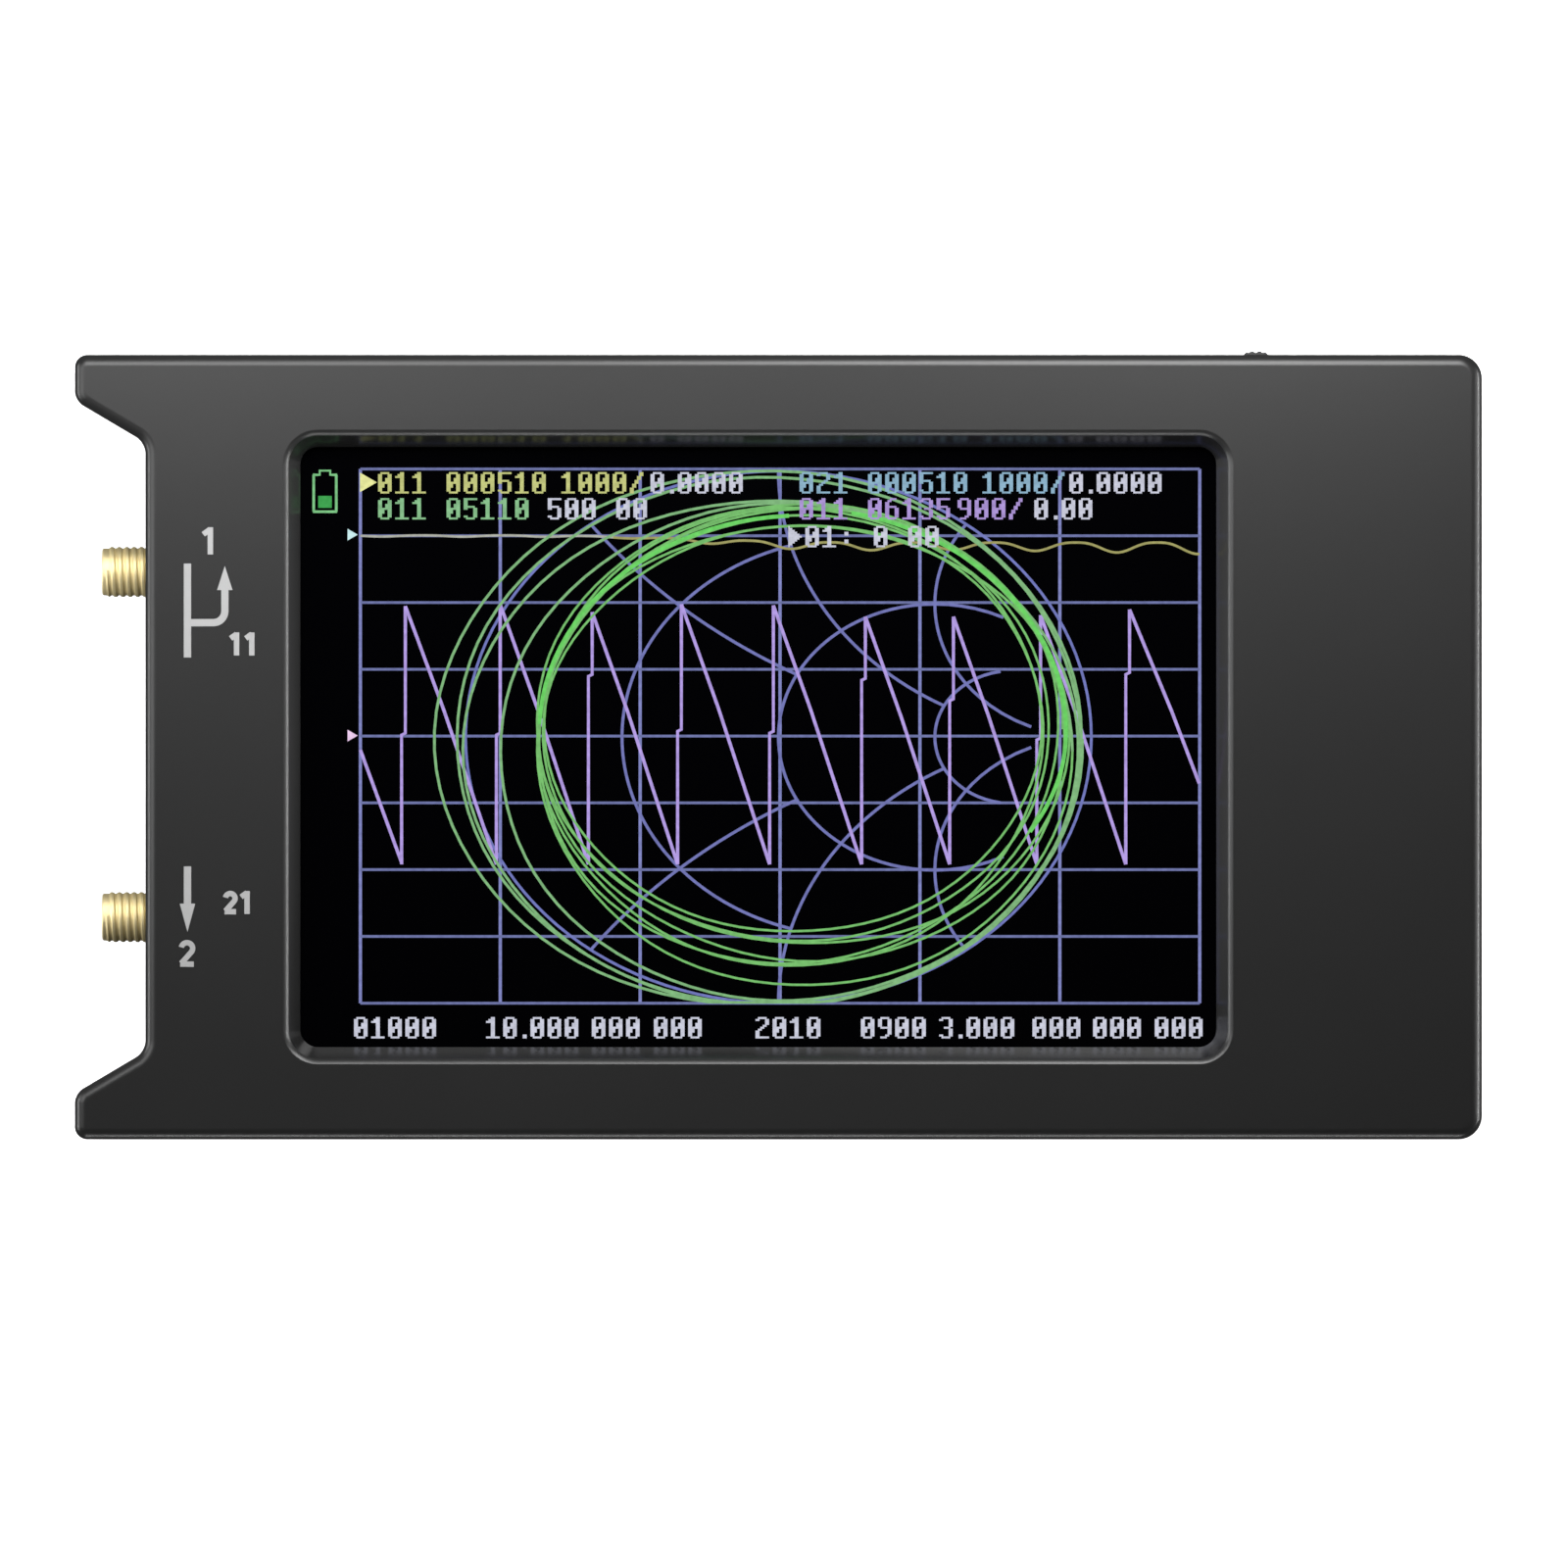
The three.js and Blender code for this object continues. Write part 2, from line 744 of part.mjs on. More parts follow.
const touchPanel = () =>
  block(
    [displayLeft, -displayTop, panelHeight],
    [displayRight - displayLedge + touchOverhang + gasketBorder / 2, displayTop, touchHeight],
  );

// Two glass plates; the rear one runs on to the right as the ledge that carries the flexible lead
const displayPanel = () =>
  join(
    block([displayLeft, -displayTop, ledgeHeight], [panelLedgeX, displayTop, panelHeight]),
    block([displayLeft, -displayTop, panelBackHeight], [displayRight, displayTop, ledgeHeight]),
  );

// Backlight: a light guide in a shallow tray, with a stepped edge
const backlightTray = () =>
  cut(
    block([displayLeft, -displayTop, backlightBackHeight], [displayRight, displayTop, panelBackHeight]),
    cut(
      block(
        [displayLeft - overrun, -displayTop - overrun, backlightBackHeight - overrun],
        [displayRight + overrun, displayTop + overrun, backlightBackHeight + backlightStep],
      ),
      block(
        [displayLeft + backlightStep, backlightStep - displayTop, backlightBackHeight - 2 * overrun],
        [displayRight - backlightStep, displayTop - backlightStep, backlightBackHeight + 2 * overrun],
      ),
    ),
  );

const displayTape = (side) => {
  const y = side * (displayTop - tapeInset - tapeWidth / 2);
  return block(
    [displayLeft + tapeInset, y - tapeWidth / 2, boardFrontHeight],
    [displayRight - tapeInset, y + tapeWidth / 2, backlightBackHeight],
  );
};

// A flat lead of even thickness that follows a curve in the XZ plane, centred on y
function flatLead(controls, y, width) {
  const curve = new THREE.CubicBezierCurve(...controls.map(([x, z]) => new THREE.Vector2(x, z)));
  const start = controls[0];
  const end = controls[3];
  const middle = curve.getPoints(flexSteps);
  const offset = (side) =>
    middle.map((p, i) => {
      const along = curve.getTangent(i / flexSteps);
      const normal = new THREE.Vector2(-along.y, along.x).multiplyScalar((side * flexThickness) / 2);
      return p.clone().add(normal);
    });
  return { curve, start, end, solid: prismAlongY([...offset(-1), ...offset(1).reverse()], y - width / 2, y + width / 2) };
}

const straightLead = (x0, x1, z, y, width) =>
  block([x0, y - width / 2, z - flexThickness / 2], [x1, y + width / 2, z + flexThickness / 2]);

// A lead that leaves one level, bends down and arrives level at another
function steppedLead(x0, bendStart, bendEnd, x1, z0, z1, y, width) {
  const third = (bendEnd - bendStart) / 2;
  const bend = flatLead(
    [
      [bendStart, z0],
      [bendStart + third, z0],
      [bendEnd - third, z1],
      [bendEnd, z1],
    ],
    y,
    width,
  ).solid;
  return join(straightLead(x0, bendStart, z0, y, width), bend, straightLead(bendEnd, x1, z1, y, width));
}

const connectorMouthHeight = boardFrontHeight + connectorFloor + connectorSlot / 2;
const latchAxisX = connectorX + latchDepth - latchThickness / 2;
const connectorDeckHeight = boardFrontHeight + connectorHeight - latchThickness - latchGap;
const latchAxisHeight = connectorDeckHeight + latchGap + latchThickness / 2;

function displayLead() {
  const levelA = ledgeHeight + flexThickness / 2;
  const slotEnd = connectorX + latchDepth;
  return steppedLead(
    displayRight - flexOverlap,
    displayRight + displayClearance,
    connectorX - flexGap,
    slotEnd,
    levelA,
    connectorMouthHeight,
    0,
    flexWidth,
  );
}

function touchLead() {
  const start = displayRight - displayLedge + touchOverhang + gasketBorder / 2 - touchFlexOverlap;
  const levelA = panelHeight - flexThickness / 2;
  const end = connectorX + touchPadLength;
  return steppedLead(
    start,
    displayRight + displayClearance,
    connectorX,
    end,
    levelA,
    boardFrontHeight + flexThickness / 2,
    -touchFlexOffset,
    touchFlexWidth,
  );
}

function displayConnector() {
  const halfWidth = flexWidth / 2 + flexGap / 2 + connectorCheek;
  const z1 = boardFrontHeight + connectorHeight;
  const back = connectorX + connectorDepth;
  return cut(
    block([connectorX, -halfWidth, boardFrontHeight], [back, halfWidth, z1]),
    block(
      [connectorX - overrun, -halfWidth + connectorCheek, connectorDeckHeight],
      [connectorX + latchDepth + latchGap, halfWidth - connectorCheek, z1 + overrun],
    ),
    block(
      [connectorX - overrun, -flexWidth / 2 - flexGap / 4, boardFrontHeight + connectorFloor],
      [connectorX + latchDepth + flexGap, flexWidth / 2 + flexGap / 4, boardFrontHeight + connectorFloor + connectorSlot],
    ),
  );
}

// The latch lies flat over the lead and flips up about its rounded rear edge
function connectorLatch() {
  const half = latchThickness / 2;
  const points = [
    new THREE.Vector2(connectorX + latchGap, latchAxisHeight + half),
    new THREE.Vector2(connectorX + latchGap, latchAxisHeight - half),
    ...Array.from({ length: leadPolygon + 1 }, (_, k) => {
      const angle = -quarterTurn + (Math.PI * k) / leadPolygon;
      return new THREE.Vector2(
        latchAxisX + half * Math.cos(angle),
        latchAxisHeight + half * Math.sin(angle),
      );
    }),
  ];
  const halfWidth = flexWidth / 2 + flexGap / 2 - latchGap;
  return prismAlongY(points, -halfWidth, halfWidth);
}

// Board with its screw holes and the rows of small parts soldered to its back
function smallParts(x, y) {
  const parts = [];
  for (let row = 0; row < partRows; row += 1)
    for (let i = 0; i < partsInRow; i += 1) {
      const px = x + i * partPitch;
      const py = y + row * partRowPitch;
      parts.push(
        block(
          [px, py, boardBackHeight - partHeight],
          [px + partWidth, py + partLength, boardBackHeight + seat],
        ),
      );
    }
  return parts;
}

const packageColumnX = boardLeft + canInset + canLength + packageColumnGap;

function mainBoard() {
  const corners = rectangleCorners(boardLeft, -boardTop, boardRight, boardTop, boardCornerRadius);
  const plate = prism(roundedOutline(corners), boardBackHeight, boardFrontHeight);
  const holes = postPlaces.map(([x, y]) =>
    rod(x, y, boardBackHeight - overrun, boardFrontHeight + overrun, boardHoleRadius),
  );
  return cut(
    join(
      plate,
      ...smallParts(packageColumnX - packageColumnGap / 2, canSpacing / 2 + partRowPitch),
      ...smallParts(packageColumnX - packageColumnGap / 2, -canSpacing - partRowPitch * partRows / 2),
    ),
    ...holes,
  );
}

// A package that sits on the back of the board
const packageOnBack = (x, y, length, width, height) =>
  block(
    [x - length / 2, y - width / 2, boardBackHeight - height],
    [x + length / 2, y + width / 2, boardBackHeight],
  );

// Rows of feet along the two long sides of a package
function feet(x, y, reach, count, pitch, alongX) {
  const made = [];
  for (let i = 0; i < count; i += 1) {
    const offset = (i - (count - 1) / 2) * pitch;
    const half = [leadFootWidth / 2, reach];
    const [dx, dy] = alongX ? half : [...half].reverse();
    const px = alongX ? x + offset : x;
    const py = alongX ? y : y + offset;
    made.push(
      block([px - dx, py - dy, boardBackHeight - leadFootHeight], [px + dx, py + dy, boardBackHeight]),
    );
  }
  return made;
}

const processorX = right - processorInset;
const processorY = top - wall - processorEdgeGap;

function processor() {
  const reach = processorSize / 2 + leadFootLength;
  return join(
    packageOnBack(processorX, processorY, processorSize, processorSize, processorHeight),
    ...feet(processorX, processorY, reach, processorLeads, processorLeadPitch, true),
    ...feet(processorX, processorY, reach, processorLeads, processorLeadPitch, false),
  );
}

const chargerX = usbX;
const inductorX = usbX + chargerWidth + inductorSize / 2;

function chargerChip() {
  const reach = chargerWidth / 2 + leadFootLength;
  return join(
    packageOnBack(chargerX, processorY, chargerLength, chargerWidth, chargerHeight),
    ...feet(chargerX, processorY, reach, chargerPins, chargerPinPitch, true),
  );
}

function inductor() {
  const z1 = boardBackHeight;
  const z0 = boardBackHeight - inductorHeight;
  const half = inductorSize / 2;
  const core = rod(inductorX, processorY, z0 + inductorLid / 2, z1 - inductorLid / 2, inductorCoreRadius);
  return join(
    core,
    block([inductorX - half, processorY - half, z0], [inductorX + half, processorY + half, z0 + inductorLid]),
    block([inductorX - half, processorY - half, z1 - inductorLid], [inductorX + half, processorY + half, z1]),
  );
}

const canX = boardLeft + canInset + canLength / 2;
const canYs = [canSpacing, 0, -canSpacing];

// A drawn can, open towards the board, with rows of vent holes in its lid
function shieldCan(y) {
  const outer = rectangleCorners(
    canX - canLength / 2,
    y - canWidth / 2,
    canX + canLength / 2,
    y + canWidth / 2,
    canCornerRadius,
  );
  const holes = [];
  for (let row = 0; row < canHoleRows; row += 1)
    for (let column = 0; column < canHoleColumns; column += 1)
      holes.push(
        rod(
          canX + (column - (canHoleColumns - 1) / 2) * canHolePitch,
          y + (row - (canHoleRows - 1) / 2) * canHolePitch,
          boardBackHeight - canHeight - overrun,
          boardBackHeight - canHeight + overrun,
          canHoleRadius,
          leadPolygon,
        ),
      );
  return cut(
    prism(roundedOutline(outer, 0, edgeSteps), boardBackHeight - canHeight, boardBackHeight),
    prism(
      roundedOutline(outer, canThickness, edgeSteps),
      boardBackHeight - canHeight + canThickness,
      boardBackHeight + overrun,
    ),
    ...holes,
  );
}

// Coaxial jack. Distances run outwards from the board's edge, where the flange's back lies.
const portTipDistance = boardLeft - portWallX + portProtrusion;

function portJack(y) {
  const tip = portTipDistance;
  const neck = portFlangeThickness + threadReliefLength;
  const barrel = turnedAlongPort(
    [
      [0, portFlangeThickness / 2],
      [threadReliefRadius, portFlangeThickness / 2],
      [threadReliefRadius, neck],
      [threadRadius, neck],
      [threadRadius, tip - portTipChamfer],
      [threadRadius - portTipChamfer, tip],
      [0, tip],
    ],
    boardLeft,
    y,
    portAxisHeight,
  );
  const half = portFlangeSize / 2;
  const flange = block(
    [boardLeft - portFlangeThickness, y - half, portAxisHeight - half],
    [boardLeft, y + half, portAxisHeight + half],
  );
  const legs = [-half, half - portLegWidth].flatMap((dy) => [
    block(
      [boardLeft - seat, y + dy, boardBackHeight - portLegWidth],
      [boardLeft + portLegLength, y + dy + portLegWidth, boardBackHeight],
    ),
    block(
      [boardLeft - seat, y + dy, boardFrontHeight],
      [boardLeft + portLegLength, y + dy + portLegWidth, boardFrontHeight + portLegWidth],
    ),
  ]);
  const bore = turnedAlongPort(
    [
      [0, -overrun],
      [dielectricRadius + coaxClearance, -overrun],
      [dielectricRadius + coaxClearance, tip - portMouthDepth],
      [portMouthRadius, tip - portMouthDepth],
      [portMouthRadius, tip + overrun],
      [0, tip + overrun],
    ],
    boardLeft,
    y,
    portAxisHeight,
  );
  return cut(join(barrel, flange, ...legs), bore);
}

const portDielectric = (y) =>
  turnedAlongPort(
    [
      [contactRadius + coaxClearance, 0],
      [dielectricRadius, 0],
      [dielectricRadius, portTipDistance - portMouthDepth],
      [contactRadius + coaxClearance, portTipDistance - portMouthDepth],
      [contactRadius + coaxClearance, 0],
    ],
    boardLeft,
    y,
    portAxisHeight,
  );

function portContact(y) {
  const mouth = portTipDistance - portMouthDepth;
  return turnedAlongPort(
    [
      [0, -contactTailLength],
      [contactTailRadius, -contactTailLength],
      [contactTailRadius, 0],
      [contactRadius, 0],
      [contactRadius, mouth],
      [contactBoreRadius, mouth],
      [contactBoreRadius, mouth - contactBoreDepth],
      [0, mouth - contactBoreDepth],
    ],
    boardLeft,
    y,
    portAxisHeight,
    coarsePolygon,
  );
}

// Charging socket: a drawn steel shell with its mouth just inside the wall
const usbFront = top - usbRecess;
const usbMiddleHeight = boardBackHeight - usbHeight / 2;

const usbProfile = (inset) =>
  roundedOutline(
    rectangleCorners(
      usbX - usbWidth / 2,
      boardBackHeight - usbHeight,
      usbX + usbWidth / 2,
      boardBackHeight,
      usbHeight / 2 - smallestRadius,
    ),
    inset,
  );

function usbShell() {
  const tabs = [-1, 1].map((side) => {
    const x = usbX + side * (usbWidth / 2);
    return block(
      [x - usbTabWidth / 2, usbFront - usbLength / 2, boardBackHeight - usbTabHeight],
      [x + usbTabWidth / 2, usbFront - usbLength / 2 + usbTabLength, boardBackHeight],
    );
  });
  return cut(
    join(prismAlongY(usbProfile(0), usbFront - usbLength, usbFront), ...tabs),
    prismAlongY(
      usbProfile(usbShellThickness),
      usbFront - usbLength + usbShellThickness,
      usbFront + overrun,
    ),
  );
}

function usbTongue() {
  const back = usbFront - usbLength + usbShellThickness + coaxClearance;
  return join(
    prismAlongY(usbProfile(usbShellThickness + coaxClearance), back, back + usbBaseDepth),
    block(
      [usbX - usbTongueWidth / 2, back + usbBaseDepth - seat, usbMiddleHeight - usbTongueThickness / 2],
      [usbX + usbTongueWidth / 2, usbFront - usbTongueRecess, usbMiddleHeight + usbTongueThickness / 2],
    ),
  );
}

// Power switch: the slider's plate runs in a pocket of the body, and its knob passes the face
const powerFront = boardTop - powerEdgeGap;
const powerMiddleHeight = boardBackHeight - powerHeight / 2;

function powerSwitchBody() {
  const pocketHalf = powerSlideWidth / 2 + powerTravel / 2 + powerSlotClearance / 2;
  const faceHalf = (powerKnobWidth + powerTravel) / 2 + powerSlotClearance / 2;
  const pocketHeight = powerSlideHeight / 2 + powerSlotClearance / 2;
  const faceHeight = powerKnobHeight / 2 + powerSlotClearance / 4;
  const pocketFront = powerFront - powerFaceThickness;
  return cut(
    block(
      [powerX - powerWidth / 2, powerFront - powerDepth, boardBackHeight - powerHeight],
      [powerX + powerWidth / 2, powerFront, boardBackHeight],
    ),
    block(
      [
        powerX - pocketHalf,
        pocketFront - powerSlideDepth - powerSlotClearance / 2,
        powerMiddleHeight - pocketHeight,
      ],
      [powerX + pocketHalf, pocketFront, powerMiddleHeight + pocketHeight],
    ),
    block(
      [powerX - faceHalf, pocketFront - seat, powerMiddleHeight - faceHeight],
      [powerX + faceHalf, powerFront + overrun, powerMiddleHeight + faceHeight],
    ),
  );
}

// Stored at its right-hand end, switched on
function powerSwitchSlider() {
  const x = powerX + powerTravel / 2;
  const plateFront = powerFront - powerFaceThickness - powerSlotClearance / 4;
  return join(
    block(
      [x - powerSlideWidth / 2, plateFront - powerSlideDepth, powerMiddleHeight - powerSlideHeight / 2],
      [x + powerSlideWidth / 2, plateFront, powerMiddleHeight + powerSlideHeight / 2],
    ),
    block(
      [x - powerKnobWidth / 2, plateFront - seat, powerKnobBottom],
      [x + powerKnobWidth / 2, top - powerKnobRecess, powerKnobBottom + powerKnobHeight],
    ),
  );
}

// Jog switch: a carriage slides in the body, and the lever turns on the carriage's pin
const jogFront = boardTop - jogEdgeGap;
const jogMiddleHeight = boardBackHeight - jogHeight / 2;
const jogPlateBottom = boardBackHeight - jogHeight + jogCaseWall + jogRunningGap;

function jogSwitchBody() {
  const faceHalf = jogHubRadius + jogSwing;
  const pocketBack = jogPivotY - jogPlateDepth / 2 - jogPush - jogRunningGap;
  return cut(
    block(
      [jogX - jogWidth / 2, jogFront - jogDepth, boardBackHeight - jogHeight],
      [jogX + jogWidth / 2, jogFront, boardBackHeight],
    ),
    block(
      [jogX - jogPlateWidth / 2 - jogRunningGap, pocketBack, boardBackHeight - jogHeight + jogCaseWall],
      [jogX + jogPlateWidth / 2 + jogRunningGap, jogFront - jogFaceThickness, boardBackHeight - jogCaseWall],
    ),
    block(
      [jogX - faceHalf, jogFront - jogFaceThickness - seat, jogLeverBottom - jogRunningGap * 2],
      [jogX + faceHalf, jogFront + overrun, jogLeverBottom + jogLeverThickness + jogRunningGap * 2],
    ),
  );
}

function jogCarriage() {
  const plateTop = jogPlateBottom + jogPlateThickness;
  const pinTop = jogLeverBottom + jogLeverThickness;
  return join(
    block(
      [jogX - jogPlateWidth / 2, jogPivotY - jogPlateDepth / 2, jogPlateBottom],
      [jogX + jogPlateWidth / 2, jogPivotY + jogPlateDepth / 2, plateTop],
    ),
    rod(jogX, jogPivotY, plateTop - jogPlateThickness / 2, pinTop, jogPinRadius),
  );
}

function jogLever() {
  const z0 = jogLeverBottom;
  const z1 = jogLeverBottom + jogLeverThickness;
  const headStart = jogTipY - jogHeadLength;
  const head = rectangleCorners(
    jogX - jogHeadWidth / 2,
    headStart,
    jogX + jogHeadWidth / 2,
    jogTipY,
    jogHeadWidth / 4,
  );
  return cut(
    join(
      rod(jogX, jogPivotY, z0, z1, jogHubRadius),
      block([jogX - jogArmWidth / 2, jogPivotY, z0], [jogX + jogArmWidth / 2, headStart + seat, z1]),
      prism(roundedOutline(head), z0, z1),
    ),
    rod(jogX, jogPivotY, z0 - overrun, z1 + overrun, jogPinRadius + jogPinClearance),
  );
}

function cardSocket() {
  const x1 = boardRight;
  const z0 = boardBackHeight - cardSocketHeight;
  return cut(
    block([x1 - cardSocketLength, cardY - cardSocketWidth / 2, z0], [x1, cardY + cardSocketWidth / 2, boardBackHeight]),
    block(
      [x1 - cardSlotDepth, cardY - cardSlotWidth / 2, z0 + cardSkin],
      [x1 + overrun, cardY + cardSlotWidth / 2, z0 + cardSkin + cardSlotHeight],
    ),
  );
}

const indicatorLamp = (x) =>
  block(
    [x - lampLength / 2, boardTop - lampWidth, boardBackHeight - lampHeight],
    [x + lampLength / 2, boardTop, boardBackHeight],
  );

// Battery: a pouch cell with soft edges and a sealed flap at the end that carries the guard board
function batteryCell() {
  const corners = rectangleCorners(batteryLeft, batteryBottom, batteryRight, batteryTop, batteryCornerRadius);
  const rounded = roundedEdge(corners, batteryFront, batteryEdgeRadius, 1);
  const lower = roundedEdge(corners, batteryBack, batteryEdgeRadius, -1).reverse();
  const flap = block(
    [batteryLeft + batteryCornerRadius, batteryTop - seat, batteryFront - batteryFlapThickness],
    [batteryRight - batteryCornerRadius, batteryTop + batteryFlapLength, batteryFront],
  );
  return join(loft([...lower, ...rounded]), flap);
}

const batteryTape = () =>
  block(
    [batteryLeft + batteryTapeInset, batteryBottom + batteryTapeInset, batteryFront],
    [batteryRight - batteryTapeInset, batteryTop - batteryTapeInset, boardBackHeight],
  );

const guardTop = batteryFront - batteryFlapThickness;
const guardBack = guardTop - guardBoardThickness;

const guardBoard = () =>
  block(
    [batteryLeft + guardBoardSetback, batteryTop + leadEndGap / 2, guardBack],
    [batteryRight - guardBoardSetback, batteryTop + batteryFlapLength, guardTop],
  );

const headerX = usbX - headerPitchFromSocket;
const headerTop = boardTop - headerEdgeGap;
const headerBottom = headerTop - headerDepth;
const headerBack = boardBackHeight - headerHeight;

const batteryHeader = () =>
  cut(
    block([headerX - headerWidth / 2, headerBottom, headerBack], [headerX + headerWidth / 2, headerTop, boardBackHeight]),
    block(
      [headerX - headerWidth / 2 + headerWall, headerBottom - overrun, headerBack + headerWall],
      [headerX + headerWidth / 2 - headerWall, headerTop - headerWall, boardBackHeight - headerWall],
    ),
  );

const plugBottom = headerBottom - plugTail;

const batteryPlug = () =>
  block(
    [headerX - headerWidth / 2 + headerWall + plugClearance, plugBottom, headerBack + headerWall + plugClearance],
    [
      headerX + headerWidth / 2 - headerWall - plugClearance,
      headerTop - headerWall - plugClearance,
      boardBackHeight - headerWall - plugClearance,
    ],
  );

// One conductor of the battery lead, from the back of the plug down to the guard board
function batteryLead(side) {
  const x = headerX + (side * leadSpacing) / 2;
  const z = headerBack + headerHeight / 2;
  const endX = headerX + side * leadSpacing;
  const endY = batteryTop + batteryFlapLength / 2;
  const endZ = guardBack - leadEndGap;
  const startY = plugBottom - leadEndGap;
  const path = new THREE.CatmullRomCurve3([
    new THREE.Vector3(x, startY, z),
    new THREE.Vector3(x, (3 * startY + endY) / 4, z - leadDrop / 4),
    new THREE.Vector3((x + endX) / 2, (startY + endY) / 2, endZ - leadDrop),
    new THREE.Vector3(endX, (startY + 7 * endY) / 8, endZ - leadDrop),
    new THREE.Vector3(endX, endY, endZ - leadRadius),
    new THREE.Vector3(endX, endY, endZ),
  ]);
  const section = new THREE.Shape(
    Array.from({ length: leadPolygon }, (_, k) =>
      new THREE.Vector2(leadRadius, 0).rotateAround(new THREE.Vector2(), (2 * Math.PI * k) / leadPolygon),
    ),
  );
  return solid(
    new THREE.ExtrudeGeometry(section, { steps: leadSteps, extrudePath: path, bevelEnabled: false }),
  );
}

// Finishes
const finish = (color, roughness, metalness = 0) => new THREE.MeshStandardMaterial({ color, roughness, metalness });
const blackPlastic = finish(0x2b2b2b, 0.45);
const rearPlastic = finish(0x262626, 0.55);
const goldPlate = finish(0xd9b45a, 0.25, 1);
const whitePlastic = finish(0xe9e7df, 0.4);
const blackFoam = finish(0x141414, 0.95);
const touchGlass = finish(0x0a0c10, 0.06);
const displayGlass = finish(0x050608, 0.15);
const trayWhite = finish(0xdadada, 0.5);
const flexAmber = finish(0xb8741c, 0.4);
const boardGreen = finish(0x14401f, 0.5);
const tinPlate = finish(0xb9bcc0, 0.35, 1);
const steel = finish(0xc4c6c8, 0.25, 1);
const packageBlack = finish(0x1a1a1a, 0.6);
const ferrite = finish(0x3a3a3d, 0.6);
const pouchSilver = finish(0xb4b6b8, 0.35, 1);
const tapeAmber = finish(0xb98a2a, 0.35);
const redLead = finish(0xb01818, 0.5);
const blackLead = finish(0x161616, 0.5);
const lampClear = finish(0xdfe8d8, 0.2);

const analyzer = new THREE.Group();

function add(name, made, material) {
  const { vertProperties, triVerts } = made.getMesh();
  const geometry = new THREE.BufferGeometry();
  geometry.setAttribute("position", new THREE.BufferAttribute(vertProperties, 3));
  geometry.setIndex(new THREE.BufferAttribute(triVerts, 1));
  geometry.computeVertexNormals();
  const mesh = new THREE.Mesh(geometry, material);
  mesh.name = name;
  analyzer.add(mesh);
}

add("front_cover", frontCover(), blackPlastic);
add("rear_cover", rearCover(), rearPlastic);
postPlaces.forEach((place, i) => add(`rear_screw_${i + 1}`, rearScrew(place), steel));

add("window_gasket", windowGasket(), blackFoam);
add("touch_panel", touchPanel(), touchGlass);
add("display_panel", displayPanel(), displayGlass);
add("backlight_tray", backlightTray(), trayWhite);
add("display_tape_upper", displayTape(1), blackFoam);
add("display_tape_lower", displayTape(-1), blackFoam);
add("display_lead", displayLead(), flexAmber);
add("touch_lead", touchLead(), flexAmber);
add("display_connector", displayConnector(), whitePlastic);
add("display_connector_latch", connectorLatch(), packageBlack);

add("main_board", mainBoard(), boardGreen);
portYs.forEach((y, i) => {
  add(`port_${i + 1}_jack`, portJack(y), goldPlate);
  add(`port_${i + 1}_dielectric`, portDielectric(y), whitePlastic);
  add(`port_${i + 1}_contact`, portContact(y), goldPlate);
});
canYs.forEach((y, i) => {
  add(`shield_can_${i + 1}`, shieldCan(y), tinPlate);
  add(`mixer_chip_${i + 1}`, packageOnBack(canX, y, mixerLength, mixerWidth, mixerHeight), packageBlack);
});
add("clock_chip", packageOnBack(packageColumnX, canSpacing / 4, clockSize, clockSize, clockHeight), packageBlack);
add("codec_chip", packageOnBack(packageColumnX, -canSpacing / 4, codecSize, codecSize, codecHeight), packageBlack);
add(
  "reference_oscillator",
  packageOnBack(packageColumnX + packageColumnGap, canSpacing / 4, oscillatorLength, oscillatorWidth, oscillatorHeight),
  tinPlate,
);
add("processor", processor(), packageBlack);
add(
  "processor_crystal",
  packageOnBack(
    processorX + processorSize / 2 + leadFootLength + crystalLength,
    processorY + crystalWidth,
    crystalLength,
    crystalWidth,
    crystalHeight,
  ),
  tinPlate,
);
add("charger_chip", chargerChip(), packageBlack);
add("charger_inductor", inductor(), ferrite);

add("usb_socket_shell", usbShell(), steel);
add("usb_socket_tongue", usbTongue(), packageBlack);
add("power_switch_body", powerSwitchBody(), tinPlate);
add("power_switch_slider", powerSwitchSlider(), packageBlack);
add("jog_switch_body", jogSwitchBody(), packageBlack);
add("jog_switch_carriage", jogCarriage(), tinPlate);
add("jog_switch_lever", jogLever(), packageBlack);
add("memory_card_socket", cardSocket(), steel);
lampXs.forEach((x, i) => add(`indicator_lamp_${i + 1}`, indicatorLamp(x), lampClear));

add("battery_cell", batteryCell(), pouchSilver);
add("battery_tape", batteryTape(), blackFoam);
add("battery_guard_board", guardBoard(), tapeAmber);
add("battery_header", batteryHeader(), whitePlastic);
add("battery_plug", batteryPlug(), whitePlastic);
add("battery_lead_positive", batteryLead(1), redLead);
add("battery_lead_negative", batteryLead(-1), blackLead);

export default analyzer;
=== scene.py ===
"""A handheld antenna analyzer, laid out as an add-on with an operator for each group of pieces.

Lengths are typed in millimetres and multiplied by MM where Blender takes metres.
"""

import math

import bmesh
import bpy
from mathutils import Matrix, Vector


